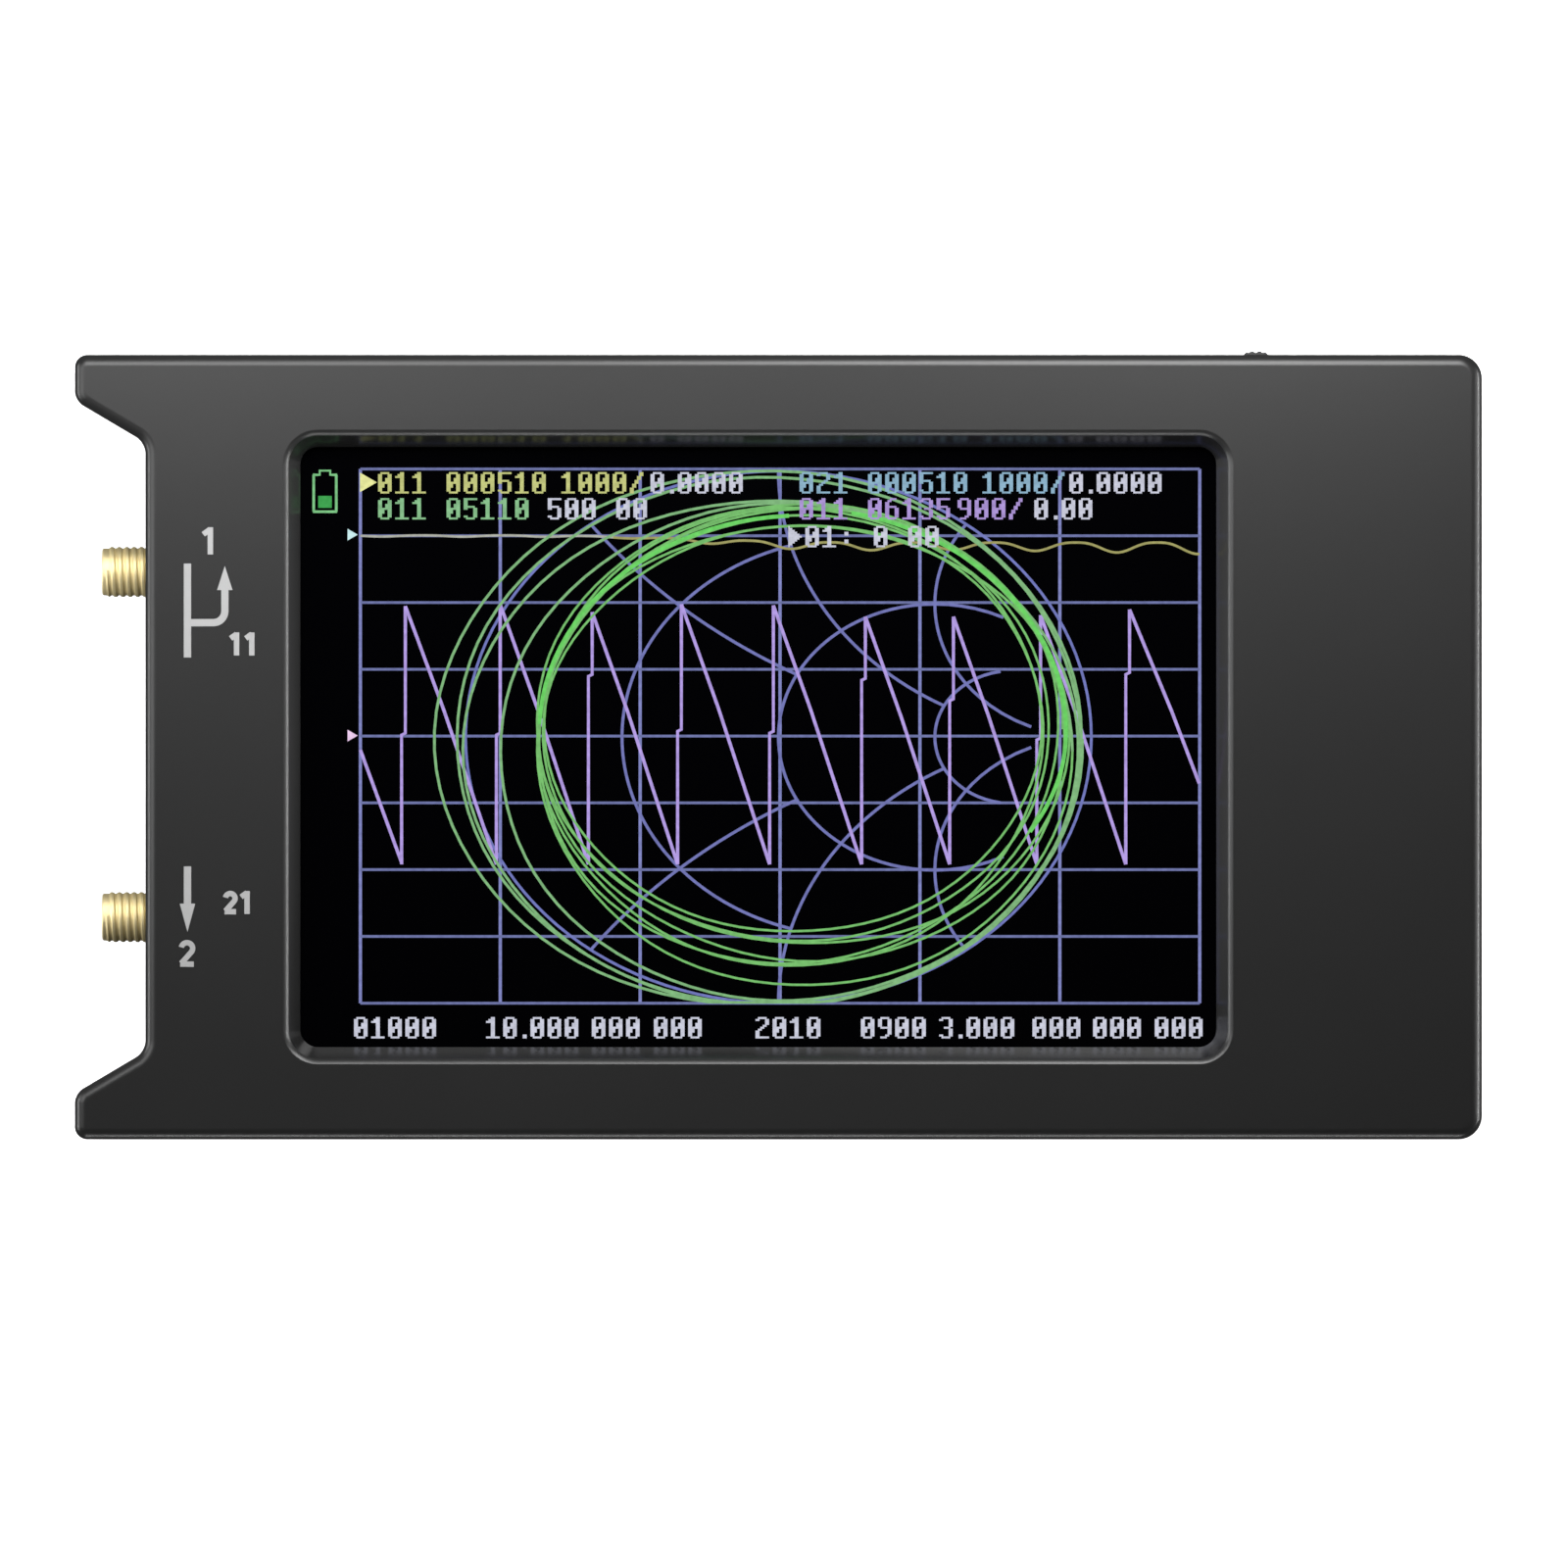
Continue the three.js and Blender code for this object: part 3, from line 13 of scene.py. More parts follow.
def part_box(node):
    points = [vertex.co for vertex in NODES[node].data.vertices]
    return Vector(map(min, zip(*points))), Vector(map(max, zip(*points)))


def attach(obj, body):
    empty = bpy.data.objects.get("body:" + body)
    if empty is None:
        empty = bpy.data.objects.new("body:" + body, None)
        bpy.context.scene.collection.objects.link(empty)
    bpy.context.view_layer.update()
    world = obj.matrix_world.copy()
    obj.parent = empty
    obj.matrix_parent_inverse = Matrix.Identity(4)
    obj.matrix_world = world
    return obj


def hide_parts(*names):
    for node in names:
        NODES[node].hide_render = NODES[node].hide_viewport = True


bl_info = {
    "name": "Antenna Analyzer",
    "version": (1, 0, 0),
    "blender": (4, 5, 0),
    "location": "3D View > Sidebar > Analyzer",
    "description": "Builds a handheld antenna analyzer over its solid model",
    "category": "Object",
}

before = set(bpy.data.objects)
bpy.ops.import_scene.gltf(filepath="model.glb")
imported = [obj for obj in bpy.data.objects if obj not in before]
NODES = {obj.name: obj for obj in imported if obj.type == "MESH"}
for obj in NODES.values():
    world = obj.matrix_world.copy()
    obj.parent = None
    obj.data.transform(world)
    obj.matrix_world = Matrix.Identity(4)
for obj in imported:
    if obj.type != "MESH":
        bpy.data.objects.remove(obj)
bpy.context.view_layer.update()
MM = 0.001
HOUSING = "housing"

# The covers: the back lies at height 0, and both covers meet at the seam
RIGHT = 67.25
PORT_WALL = -60.5
HALF_WIDTH = 37.5
THICKNESS = 19.0
SPLIT = 8.82
WALL = 2.0
FRONT_WALL = 2.4
CEILING = THICKNESS - FRONT_WALL
# The x, y and radius of each corner of the outline, with an ear at either end of the port wall
HOUSING_CORNERS = (
    (RIGHT, -HALF_WIDTH, 2.25),
    (RIGHT, HALF_WIDTH, 2.25),
    (-RIGHT, HALF_WIDTH, 1.2),
    (-RIGHT, 33.1, 1.6),
    (PORT_WALL, 29.1, 1.8),
    (PORT_WALL, -29.1, 1.8),
    (-RIGHT, -33.1, 1.6),
    (-RIGHT, -HALF_WIDTH, 1.2),
)
# The window's x0, y0, x1, y1 and corner radius, then the room for the display and the battery
WINDOW = (-45.72, -28.7, 41.88, 28.7, 1.7)
DISPLAY = (-48.2, -30.55, 46.5, 30.55)
BATTERY_BAY = (-6.5, -32.7, 56.5, 12.7)
GLASS_TOP = 16.1
# The slope and the face meet in a lip that bends from one tilt to the other, in degrees
SLOPE_TILT = 57
FACE_TILT = 20

# The screws pass pockets and holes in the rear cover and bite in pilot holes of the front posts
POSTS = ((-52.5, 31.0), (-52.5, -31.0), (60.5, 31.0), (60.5, -31.0))
POST_RADIUS = 3.0
PILOT_RADIUS = 1.27
SCREW_HOLE_RADIUS = 1.4
POCKET_RADIUS = 2.6

# Main board, and what opens through the walls; the socket has x0, x1, z0, z1 and a radius
BOARD_BACK = 9.2
BOARD_FRONT = 10.8
BOARD_EDGE = -56.1
PORTS = (16.83, -16.31)
PORT_AXIS = 8.82
PORT_HOLE = 2.713
USB = (9.53, 18.47, 5.94, BOARD_BACK, 1.5)
USB_GAP = 0.35
POWER_X = 31.5
POWER_REACH = 2.45
SCOOP = 1.3
JOG_X = 45.85
JOG_REACH = 3.08
SWITCH_SILL = 6.3
CARD_SLOT = (-26.0, 7.4, -13.6, 9.1, 0.4)
LAMPS = (22.15, 25.15)
LAMP_AXIS = 8.85
LAMP_HOLE = 0.6

# The picture is drawn in pixels, and each kind of line is a thin sheet that lies above the last
PIXELS = (480, 320)
PIXEL = 0.18
DISPLAY_CENTRE = (-1.9, 0.02)
SCREEN_LAYER = 0.012
SHEET = 0.01

# Each light's name, place and size in metres, and power in watts. The strips stand low: they
# light the edges and the window's lips and stay out of the glass.
DISC = (0.1,)
STRIP = (0.24, 0.03)
LIGHTS = (
    ("left", (-0.16, 0.02, 0.12), DISC, 0.085),
    ("low_left", (-0.35, 0.0, 0.035), STRIP, 0.42),
    ("switch_side_left", (-0.09, 0.09, 0.15), DISC, 0.1),
    ("switch_side_middle", (-0.04, 0.09, 0.12), DISC, 0.106),
    ("switch_side_right", (0.04, 0.1, 0.12), DISC, 0.27),
    ("right", (0.24, 0.02, 0.12), DISC, 0.06),
    ("low_right", (0.35, 0.0, 0.035), STRIP, 0.72),
    ("near", (0.0, -0.35, 0.035), STRIP, 0.38),
)
SENSOR = 36.0


def linear(code):
    """The linear colour of an sRGB hex value."""
    parts = [int(code[i : i + 2], 16) / 255 for i in (1, 3, 5)]
    return [c / 12.92 if c <= 0.04045 else ((c + 0.055) / 1.055) ** 2.4 for c in parts] + [1.0]


def add(tree, kind, links=None, **settings):
    """Adds a node with its settings, by input name or attribute, and links its inputs."""
    node = tree.nodes.new(kind)
    sockets = {socket.name.lower().replace(" ", "_"): socket for socket in reversed(node.inputs[:])}
    for key, value in settings.items():
        if key in sockets:
            sockets[key].default_value = value
        else:
            setattr(node, key, value)
    for key, source in (links or {}).items():
        tree.links.new(source, node.inputs[key])
    return node


def new_material(name, **shader):
    """A material with a fresh Principled shader; inputs are given by name in lower case."""
    material = bpy.data.materials.new(name)
    material.use_nodes = True
    tree = material.node_tree
    tree.nodes.clear()
    bsdf = add(tree, "ShaderNodeBsdfPrincipled", **shader)
    add(tree, "ShaderNodeOutputMaterial", {"Surface": bsdf.outputs[0]})
    material.diffuse_color = bsdf.inputs["Base Color"].default_value
    return material, tree, bsdf


def clouds(tree, place, size, detail, low, high):
    """A colour that drifts between two others over patches of a size in mm."""
    noise = add(tree, "ShaderNodeTexNoise", {"Vector": place}, scale=1 / (size * MM), detail=detail)
    tint = add(tree, "ShaderNodeMix", {0: noise.outputs[0]}, data_type="RGBA")
    tint.inputs[6].default_value = low
    tint.inputs[7].default_value = high
    return tint.outputs[2]


def relief(tree, bsdf, pattern, low, high, height):
    """Lets a pattern swing the roughness from low to high and lift the surface, by mm."""
    swing = add(tree, "ShaderNodeMapRange", {0: pattern})
    swing.inputs[3].default_value = low
    swing.inputs[4].default_value = high
    bump = add(tree, "ShaderNodeBump", {"Height": pattern}, strength=1.0, distance=height * MM)
    tree.links.new(swing.outputs[0], bsdf.inputs["Roughness"])
    tree.links.new(bump.outputs[0], bsdf.inputs["Normal"])


def grained(name, light, dark, cloud, grain, height, rough, spread=0.06, **shader):
    """A surface whose colour drifts over cloud mm and whose grain, in mm, roughens and lifts it."""
    material, tree, bsdf = new_material(name, **shader)
    place = add(tree, "ShaderNodeTexCoord").outputs["Object"]
    tint = clouds(tree, place, cloud, 3.0, linear(dark), linear(light))
    fine = add(tree, "ShaderNodeTexNoise", {"Vector": place}, scale=1 / (grain * MM), detail=2.0)
    relief(tree, bsdf, fine.outputs[0], rough - spread, rough + spread, height)
    tree.links.new(tint, bsdf.inputs["Base Color"])
    material.diffuse_color = linear(light)
    return material


def lined(name, code, axis, pitch, height, rough):
    """A metal with fine lines across one axis, as a turning tool or a rolling mill leaves them."""
    material, tree, bsdf = new_material(name, base_color=linear(code), metallic=1.0)
    place = add(tree, "ShaderNodeTexCoord").outputs["Object"]
    # The noise is drawn out fifty times along the lines
    stretch = [0.02, 0.02, 0.02]
    stretch[axis] = 1.0
    turned = add(tree, "ShaderNodeMapping", {0: place}, scale=stretch)
    where = {"Vector": turned.outputs[0]}
    lines = add(tree, "ShaderNodeTexNoise", where, scale=1 / (pitch * MM), detail=4.0)
    relief(tree, bsdf, lines.outputs[0], rough * 0.8, rough * 1.3, height)
    return material


def lit(name, code, strength):
    """Display pixels behind glass: they glow a little unevenly and keep the glass's gloss."""
    black = (0.002, 0.002, 0.002, 1.0)
    material, tree, bsdf = new_material(
        name, base_color=black, roughness=0.06, specular_ior_level=0.2, emission_strength=strength
    )
    place = add(tree, "ShaderNodeTexCoord").outputs["Object"]
    full = linear(code)
    dim = [0.72 * c for c in full[:3]] + [1.0]
    bright = [min(1.25 * c, 1.0) for c in full[:3]] + [1.0]
    tree.links.new(clouds(tree, place, 0.5, 1.0, dim, bright), bsdf.inputs["Emission Color"])
    material.diffuse_color = full
    return material


MATERIALS = {}


# For each: name, light and dark colour, then in mm the size of its clouds, the size of its grain
# and the grain's height, then roughness and, if it isn't 0.06, how far the roughness swings
PLAIN_FINISHES = {
    # Moulded ABS from a spark-eroded tool: a soft sheen with no mirror image. The real grain,
    # 0.03 mm, is too fine to show, so it is drawn at 0.2 mm.
    "front": ("moulded_abs_charcoal", "#222222", "#1e1e1e", 18, 0.2, 0.0012, 0.35),
    "rear": ("textured_abs_charcoal", "#232323", "#1e1e1e", 18, 0.32, 0.006, 0.5),
    # The slope round the window comes from a polished part of the tool: it mirrors the display
    "slope": ("polished_abs_charcoal", "#1e1e1e", "#1b1b1b", 12, 0.5, 0.0002, 0.2, 0.03),
    # Screen-printed ink lies flat and dull, a little thin in places
    "ink": ("screen_printed_ink", "#a6a6a6", "#9b9b9b", 2.5, 0.12, 0.001, 0.5),
    # Turned PTFE is milky white with a waxy sheen
    "ptfe": ("turned_ptfe", "#efeee8", "#e4e2d8", 1.5, 0.08, 0.002, 0.4),
    # Nylon and epoxy from matt tools: dull black with a fine grain; natural nylon is ivory
    "nylon": ("moulded_black_nylon", "#1c1c1c", "#151515", 2, 0.1, 0.002, 0.46),
    "package": ("moulded_black_epoxy", "#1f1f20", "#171718", 2, 0.09, 0.003, 0.6),
    "white": ("moulded_natural_nylon", "#eae7dc", "#ddd9cb", 3, 0.2, 0.002, 0.42),
    # Solder mask flows over the laminate's weave: green and half glossy, with soft ups and downs
    "board": ("solder_mask_on_laminate", "#1d5a2c", "#123d1e", 1.4, 0.35, 0.006, 0.32),
    # Cast polyimide film is amber and shiny
    "film": ("polyimide_film", "#b9761f", "#93560f", 2, 0.3, 0.001, 0.3),
    # Cut foam shows fine cells and has no sheen at all
    "foam": ("closed_cell_foam", "#1b1b1b", "#0f0f0f", 0.5, 0.22, 0.03, 0.95),
    # The backlight's moulded tray is an even white, and the display's glass nearly black
    "tray": ("moulded_white_polycarbonate", "#e6e6e4", "#d8d8d5", 8, 0.3, 0.001, 0.4),
    "panel": ("display_cell_glass", "#08090c", "#050608", 20, 2, 0.0001, 0.12, 0.02),
    # Pressed ferrite is grey, dull and grainy, as fine stone is
    "ferrite": ("pressed_ferrite", "#424246", "#2f2f33", 0.6, 0.14, 0.01, 0.7),
    # Adhesive tape: amber and shiny over what it wraps
    "tape": ("amber_insulating_tape", "#c08f2e", "#9d6f1b", 4, 0.6, 0.006, 0.3),
    # Extruded silicone has a soft, rubbery sheen
    "red": ("silicone_insulation_red", "#b5201c", "#8f1512", 2, 0.15, 0.002, 0.5),
    "black": ("silicone_insulation_black", "#1b1b1b", "#111111", 2, 0.15, 0.002, 0.5),
    # Cast epoxy is clear and smooth, with a faint green cast
    "lamp": ("cast_clear_epoxy", "#dde6d2", "#c8d4bb", 0.8, 0.2, 0.001, 0.15),
}
METAL_FINISHES = {
    # Dipped tin is pale and cloudy, and half bright
    "tin": ("tin_plated_sheet", "#c4c7ca", "#aeb2b6", 3, 0.25, 0.001, 0.34),
    # Black oxide leaves the steel's gloss and takes its colour
    "screw": ("black_oxide_steel", "#3a3a3c", "#262628", 0.8, 0.12, 0.002, 0.36),
    # Laminated foil is silvery, with the soft creases of a vacuum pack
    "pouch": ("laminated_aluminium_foil", "#bfc2c4", "#a5a8ab", 6, 1.2, 0.03, 0.32),
}


def make_materials():
    """Every finish of the analyzer, named for the real material and how its surface was made."""
    for key, values in PLAIN_FINISHES.items():
        MATERIALS[key] = grained(*values)
    for key, values in METAL_FINISHES.items():
        MATERIALS[key] = grained(*values, metallic=1.0)
    # Hard-coated glass is black and mirrors the room, a little less than bare glass
    glass = ("hard_coated_touch_glass", "#020203", "#010102", 30, 4, 0.00002, 0.05, 0.01)
    MATERIALS["glass"] = grained(*glass, specular_ior_level=0.35)
    # Thin gold over nickel on turned brass: pale yellow, its shine spread by the tool's rings
    MATERIALS["gold"] = lined("gold_plated_turned_brass", "#fff0bf", 0, 0.06, 0.0015, 0.6)
    # Drawn steel is bright, with fine lines along the draw
    MATERIALS["steel"] = lined("drawn_stainless_steel", "#c9cbcd", 2, 0.09, 0.0006, 0.24)


def finish_piece(name, mesh, finish, body=HOUSING, replaces=(), angle=35):
    """Links a mesh as a piece that rides on a body, smooth except at edges sharper than angle."""
    mesh.name = name
    piece = bpy.data.objects.new(name, mesh)
    bpy.context.scene.collection.objects.link(piece)
    for key in (finish,) if isinstance(finish, str) else finish:
        mesh.materials.append(MATERIALS[key])
    mesh.shade_smooth()
    mesh.set_sharp_from_angle(angle=math.radians(angle))
    weighted = piece.modifiers.new("Weighted normals", "WEIGHTED_NORMAL")
    weighted.keep_sharp = True
    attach(piece, body)
    if replaces:
        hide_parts(*replaces)


def to_mesh(bm):
    """A mesh from a bmesh, with its faces turned outwards."""
    bmesh.ops.remove_doubles(bm, verts=bm.verts, dist=1e-7)
    bmesh.ops.recalc_face_normals(bm, faces=bm.faces)
    if bm.calc_volume(signed=True) < 0:
        bmesh.ops.reverse_faces(bm, faces=bm.faces)
    mesh = bpy.data.meshes.new("shape")
    bm.to_mesh(mesh)
    bm.free()
    return mesh


def grow(face, distance):
    """Moves a flat face's outline outwards by an even distance, in millimetres."""
    moves = [
        (loop.vert, loop.calc_tangent() * (-distance * MM / math.sin(loop.calc_angle() / 2)))
        for loop in face.loops
    ]
    for vert, move in moves:
        vert.co += move


def outline(corners, inset, z, steps):
    """A flat face with rounded corners, drawn in by an inset, which rounds inside corners more."""
    bm = bmesh.new()
    verts = [bm.verts.new((x * MM, y * MM, z * MM)) for x, y, _ in corners]
    face = bm.faces.new(verts)
    face.normal_update()
    bends = {loop.vert: 1 if loop.is_convex else -1 for loop in face.loops}
    if inset:
        grow(face, -inset)
    for vert, (_, _, radius) in zip(verts, corners):
        before, after = (edge.other_vert(vert).co - vert.co for edge in vert.link_edges)
        turn = math.pi - before.angle(after)
        rounded = max(radius - bends[vert] * inset, 0.1) * MM
        bmesh.ops.bevel(
            bm,
            geom=[vert],
            offset=rounded * math.tan(turn / 2),
            offset_type="OFFSET",
            affect="VERTICES",
            segments=steps,
            profile=0.5,
            material=-1,
        )
    bm.faces.ensure_lookup_table()
    return bm, bm.faces[0]


def drawn(bm, face, rise, spread):
    """Extrudes a flat face by a rise along Z and spreads its outline, in millimetres."""
    made = bmesh.ops.extrude_face_region(bm, geom=[face])
    new_face = next(g for g in made["geom"] if isinstance(g, bmesh.types.BMFace))
    if any(len(edge.link_faces) > 2 for edge in face.edges):
        bmesh.ops.delete(bm, geom=[face], context="FACES_ONLY")
    verts = list(new_face.verts)
    new_face.normal_update()
    if spread:
        grow(new_face, spread)
    bmesh.ops.translate(bm, verts=verts, vec=(0, 0, rise * MM))
    return new_face


def stack(corners, inset, levels, steps=12):
    """A solid through levels of (z, spread), each spread measured from the inset outline."""
    bm, face = outline(corners, inset - levels[0][1], levels[0][0], steps)
    for (z0, s0), (z1, s1) in zip(levels, levels[1:]):
        face = drawn(bm, face, z1 - z0, s1 - s0)
    return to_mesh(bm)


def rectangle(x0, y0, x1, y1, radius):
    """The corners of a rectangle, all of one radius."""
    return ((x1, y0, radius), (x1, y1, radius), (x0, y1, radius), (x0, y0, radius))


def quarter(face, radius, way, steps=8):
    """Levels that round an edge over towards a face at height face; way is 1 up or -1 down."""
    turns = [math.pi / 2 * k / steps for k in range(steps + 1)]
    return [(face - way * radius * (1 - math.sin(t)), -radius * (1 - math.cos(t))) for t in turns]


def add_prism(bm, sides, radius, depth, place):
    """Adds an upright prism to a bmesh, in millimetres."""
    bmesh.ops.create_cone(
        bm,
        cap_ends=True,
        segments=sides,
        radius1=radius * MM,
        radius2=radius * MM,
        depth=depth * MM,
        matrix=place,
    )


def rod(x, y, radius, start, end, sides=48):
    """An upright round rod from height start to end, in millimetres."""
    bm = bmesh.new()
    place = Matrix.Translation((x * MM, y * MM, (start + end) / 2 * MM))
    add_prism(bm, sides, radius, end - start, place)
    return to_mesh(bm)


def box(low, high, bevel=0.0, segments=3, bm=None):
    """A block between two corners, in millimetres, with its edges rounded."""
    own = bm is None
    bm = bmesh.new() if own else bm
    size = [(b - a) * MM for a, b in zip(low, high)]
    middle = [(a + b) / 2 * MM for a, b in zip(low, high)]
    place = Matrix.Translation(middle) @ Matrix.Diagonal((*size, 1.0))
    made = bmesh.ops.create_cube(bm, size=1.0, matrix=place)["verts"]
    if bevel:
        edges = list({e for v in made for e in v.link_edges})
        bmesh.ops.bevel(
            bm,
            geom=edges,
            offset=bevel * MM,
            offset_type="OFFSET",
            affect="EDGES",
            segments=segments,
            profile=0.5,
            material=-1,
            clamp_overlap=True,
        )
    return to_mesh(bm) if own else None


def spun(profile, steps=64):
    """A closed body of revolution about Z from (radius, height) pairs in millimetres."""
    bm = bmesh.new()
    verts = [bm.verts.new((r * MM, 0, h * MM)) for r, h in profile]
    edges = [bm.edges.new(pair) for pair in zip(verts, verts[1:])]
    bmesh.ops.spin(
        bm,
        geom=verts + edges,
        cent=(0, 0, 0),
        axis=(0, 0, 1),
        angle=2 * math.pi,
        steps=steps,
        use_merge=True,
    )
    return bm


def toward_port(bm, y):
    """Turns a body's axis from +Z to -X and sets it on a port's axis, its base at the board."""
    turn = Matrix.Rotation(-math.pi / 2, 3, "Y")
    bmesh.ops.rotate(bm, verts=bm.verts, cent=(0, 0, 0), matrix=turn)
    bmesh.ops.translate(bm, verts=bm.verts, vec=(BOARD_EDGE * MM, y * MM, PORT_AXIS * MM))


def carve(mesh, cutters, added=()):
    """Joins and cuts closed meshes with exact booleans, and returns the result as a new mesh."""
    scene = bpy.context.scene
    body = bpy.data.objects.new("blank", mesh)
    scene.collection.objects.link(body)
    tools = []
    for operation, group in (("UNION", added), ("DIFFERENCE", cutters)):
        for shape in group:
            tool = bpy.data.objects.new("tool", shape)
            scene.collection.objects.link(tool)
            tools.append(tool)
            modifier = body.modifiers.new(operation, "BOOLEAN")
            modifier.operation = operation
            modifier.solver = "EXACT"
            modifier.object = tool
    graph = bpy.context.evaluated_depsgraph_get()
    result = bpy.data.meshes.new_from_object(body.evaluated_get(graph))
    for each in [body, *tools]:
        data = each.data
        bpy.data.objects.remove(each)
        bpy.data.meshes.remove(data)
    clean = bmesh.new()
    clean.from_mesh(result)
    bmesh.ops.delete(clean, geom=[edge for edge in clean.edges if edge.is_wire], context="EDGES")
    clean.to_mesh(result)
    clean.free()
    return result


def dress(material, *nodes):
    """Gives a carried-over solid its finish."""
    for name in nodes:
        slots = NODES[name].data.materials
        slots.clear()
        slots.append(MATERIALS[material])


def block(x0, y0, z0, x1, y1, z1):
    """A block with sharp edges."""
    return box((x0, y0, z0), (x1, y1, z1))


# Each turns a shape that is drawn upwards into one that enters a wall from outside
ONTO_SIDE = Matrix.Rotation(math.pi / 2, 4, "X")
INTO_SWITCH_EDGE = Matrix.Translation((0, HALF_WIDTH * MM, 0)) @ ONTO_SIDE
INTO_CARD_SIDE = (
    Matrix.Translation((RIGHT * MM, 0, 0))
    @ Matrix.Rotation(-math.pi / 2, 4, "Z")
    @ ONTO_SIDE
)
INTO_PORT_SIDE = Matrix.Translation((PORT_WALL * MM, 0, 0)) @ Matrix.Rotation(math.pi / 2, 4, "Y")


def wall_slot(corners, way, chamfer=0.25, depth=3.0):
    """A straight opening with a chamfered mouth."""
    shape = stack(corners, 0, [(-0.5, chamfer + 0.5), (chamfer, 0.0), (depth, 0.0)], 8)
    shape.transform(way)
    return shape


def wall_hole(radius, depth, place, steps):
    """A round opening with a chamfered mouth."""
    mouth = radius + 1.2
    profile = [(0, -1), (mouth, -1), (radius, 0.2), (radius, depth), (0, depth)]
    shape = to_mesh(spun(profile, steps))
    shape.transform(place)
    return shape


def wall_cutters():
    """Shapes that open the housing's walls at the ports, sockets, switches and lamps."""
    shapes = []
    for y in PORTS:
        place = Matrix.Translation((0, y * MM, PORT_AXIS * MM)) @ INTO_PORT_SIDE
        shapes.append(wall_hole(PORT_HOLE, 3.5, place, 72))
    x0, x1, z0, z1, corner = USB
    gap = USB_GAP
    socket = rectangle(x0 - gap, z0 - gap, x1 + gap, z1 + gap, corner + gap)
    shapes.append(wall_slot(socket, INTO_SWITCH_EDGE))
    # The power switch's slot lies in a scoop that lets a fingertip in
    x0, x1, z0 = POWER_X - POWER_REACH, POWER_X + POWER_REACH, SWITCH_SILL
    shapes.append(wall_slot(rectangle(x0, z0, x1, SPLIT, 0.25), INTO_SWITCH_EDGE, 0.05))
    scoop = rectangle(x0 - SCOOP, z0 - SCOOP, x1 + SCOOP, SPLIT + SCOOP, 1.4)
    scoop = stack(scoop, 0, [(-0.4, SCOOP / 2), (0.8, -SCOOP)], 8)
    scoop.transform(INTO_SWITCH_EDGE)
    shapes.append(scoop)
    jog = rectangle(JOG_X - JOG_REACH, z0, JOG_X + JOG_REACH, SPLIT, 0.4)
    shapes.append(wall_slot(jog, INTO_SWITCH_EDGE))
    shapes.append(wall_slot(rectangle(*CARD_SLOT), INTO_CARD_SIDE))
    for x in LAMPS:
        place = Matrix.Translation((x * MM, 0, LAMP_AXIS * MM)) @ INTO_SWITCH_EDGE
        shapes.append(wall_hole(LAMP_HOLE, 3.0, place, 40))
    return shapes


def post_webs(z0, z1):
    """Webs that tie each screw post to the two nearest walls."""
    shapes = []
    half = 0.5
    for x, y in POSTS:
        wall_x = RIGHT - WALL / 2 if x > 0 else PORT_WALL + WALL / 2
        wall_y = math.copysign(HALF_WIDTH - WALL / 2, y)
        shapes.append(block(min(x, wall_x), y - half, z0, max(x, wall_x), y + half, z1))
        shapes.append(block(x - half, min(y, wall_y), z0, x + half, max(y, wall_y), z1))
    return shapes


def post_rods(radius, z0, z1):
    """A rod at each screw post."""
    return [rod(x, y, radius, z0, z1) for x, y in POSTS]


class HousingValues(bpy.types.PropertyGroup):
    edge_radius: bpy.props.FloatProperty(
        name="Edge radius",
        description="Rounding of the front and back edges",
        default=1.1 * MM,
        unit="LENGTH",
    )
    slope_run: bpy.props.FloatProperty(
        name="Slope run",
        description="Width of the slope round the window",
        default=1.05 * MM,
        unit="LENGTH",
    )
    lip_radius: bpy.props.FloatProperty(
        name="Lip radius",
        description="Rounding where the slope meets the face",
        default=1.2 * MM,
        unit="LENGTH",
    )
    seam_chamfer: bpy.props.FloatProperty(
        name="Seam chamfer",
        description="Chamfer of both covers at the seam",
        default=0.15 * MM,
        unit="LENGTH",
    )
    print_stroke: bpy.props.FloatProperty(
        name="Print stroke",
        description="Width of the printed lines",
        default=0.7 * MM,
        unit="LENGTH",
    )


class PortValues(bpy.types.PropertyGroup):
    thread_radius: bpy.props.FloatProperty(
        name="Thread radius",
        description="Outer radius of the thread",
        default=2.413 * MM,
        unit="LENGTH",
    )
    thread_pitch: bpy.props.FloatProperty(
        name="Thread pitch",
        description="Advance of one turn, 36 to the inch",
        default=25.4 / 36 * MM,
        unit="LENGTH",
    )
    thread_depth: bpy.props.FloatProperty(
        name="Thread depth",
        description="Height of the thread's flanks",
        default=0.15 * MM,
        unit="LENGTH",
    )


class DisplayValues(bpy.types.PropertyGroup):
    line_width: bpy.props.FloatProperty(
        name="Line width", description="Width of a drawn line", default=0.2 * MM, unit="LENGTH"
    )
    brightness: bpy.props.FloatProperty(
        name="Brightness", description="Strength of the lit pixels", default=1.0, min=0.0
    )


class StageValues(bpy.types.PropertyGroup):
    lens: bpy.props.FloatProperty(
        name="Lens", description="Focal length of the camera", default=500.0, unit="CAMERA"
    )
    framed_width: bpy.props.FloatProperty(
        name="Framed width",
        description="Width seen at the front face",
        default=149.8 * MM,
        unit="LENGTH",
    )
    key_power: bpy.props.FloatProperty(
        name="Light power", description="Factor on the power of every light", default=1.0, min=0.0
    )


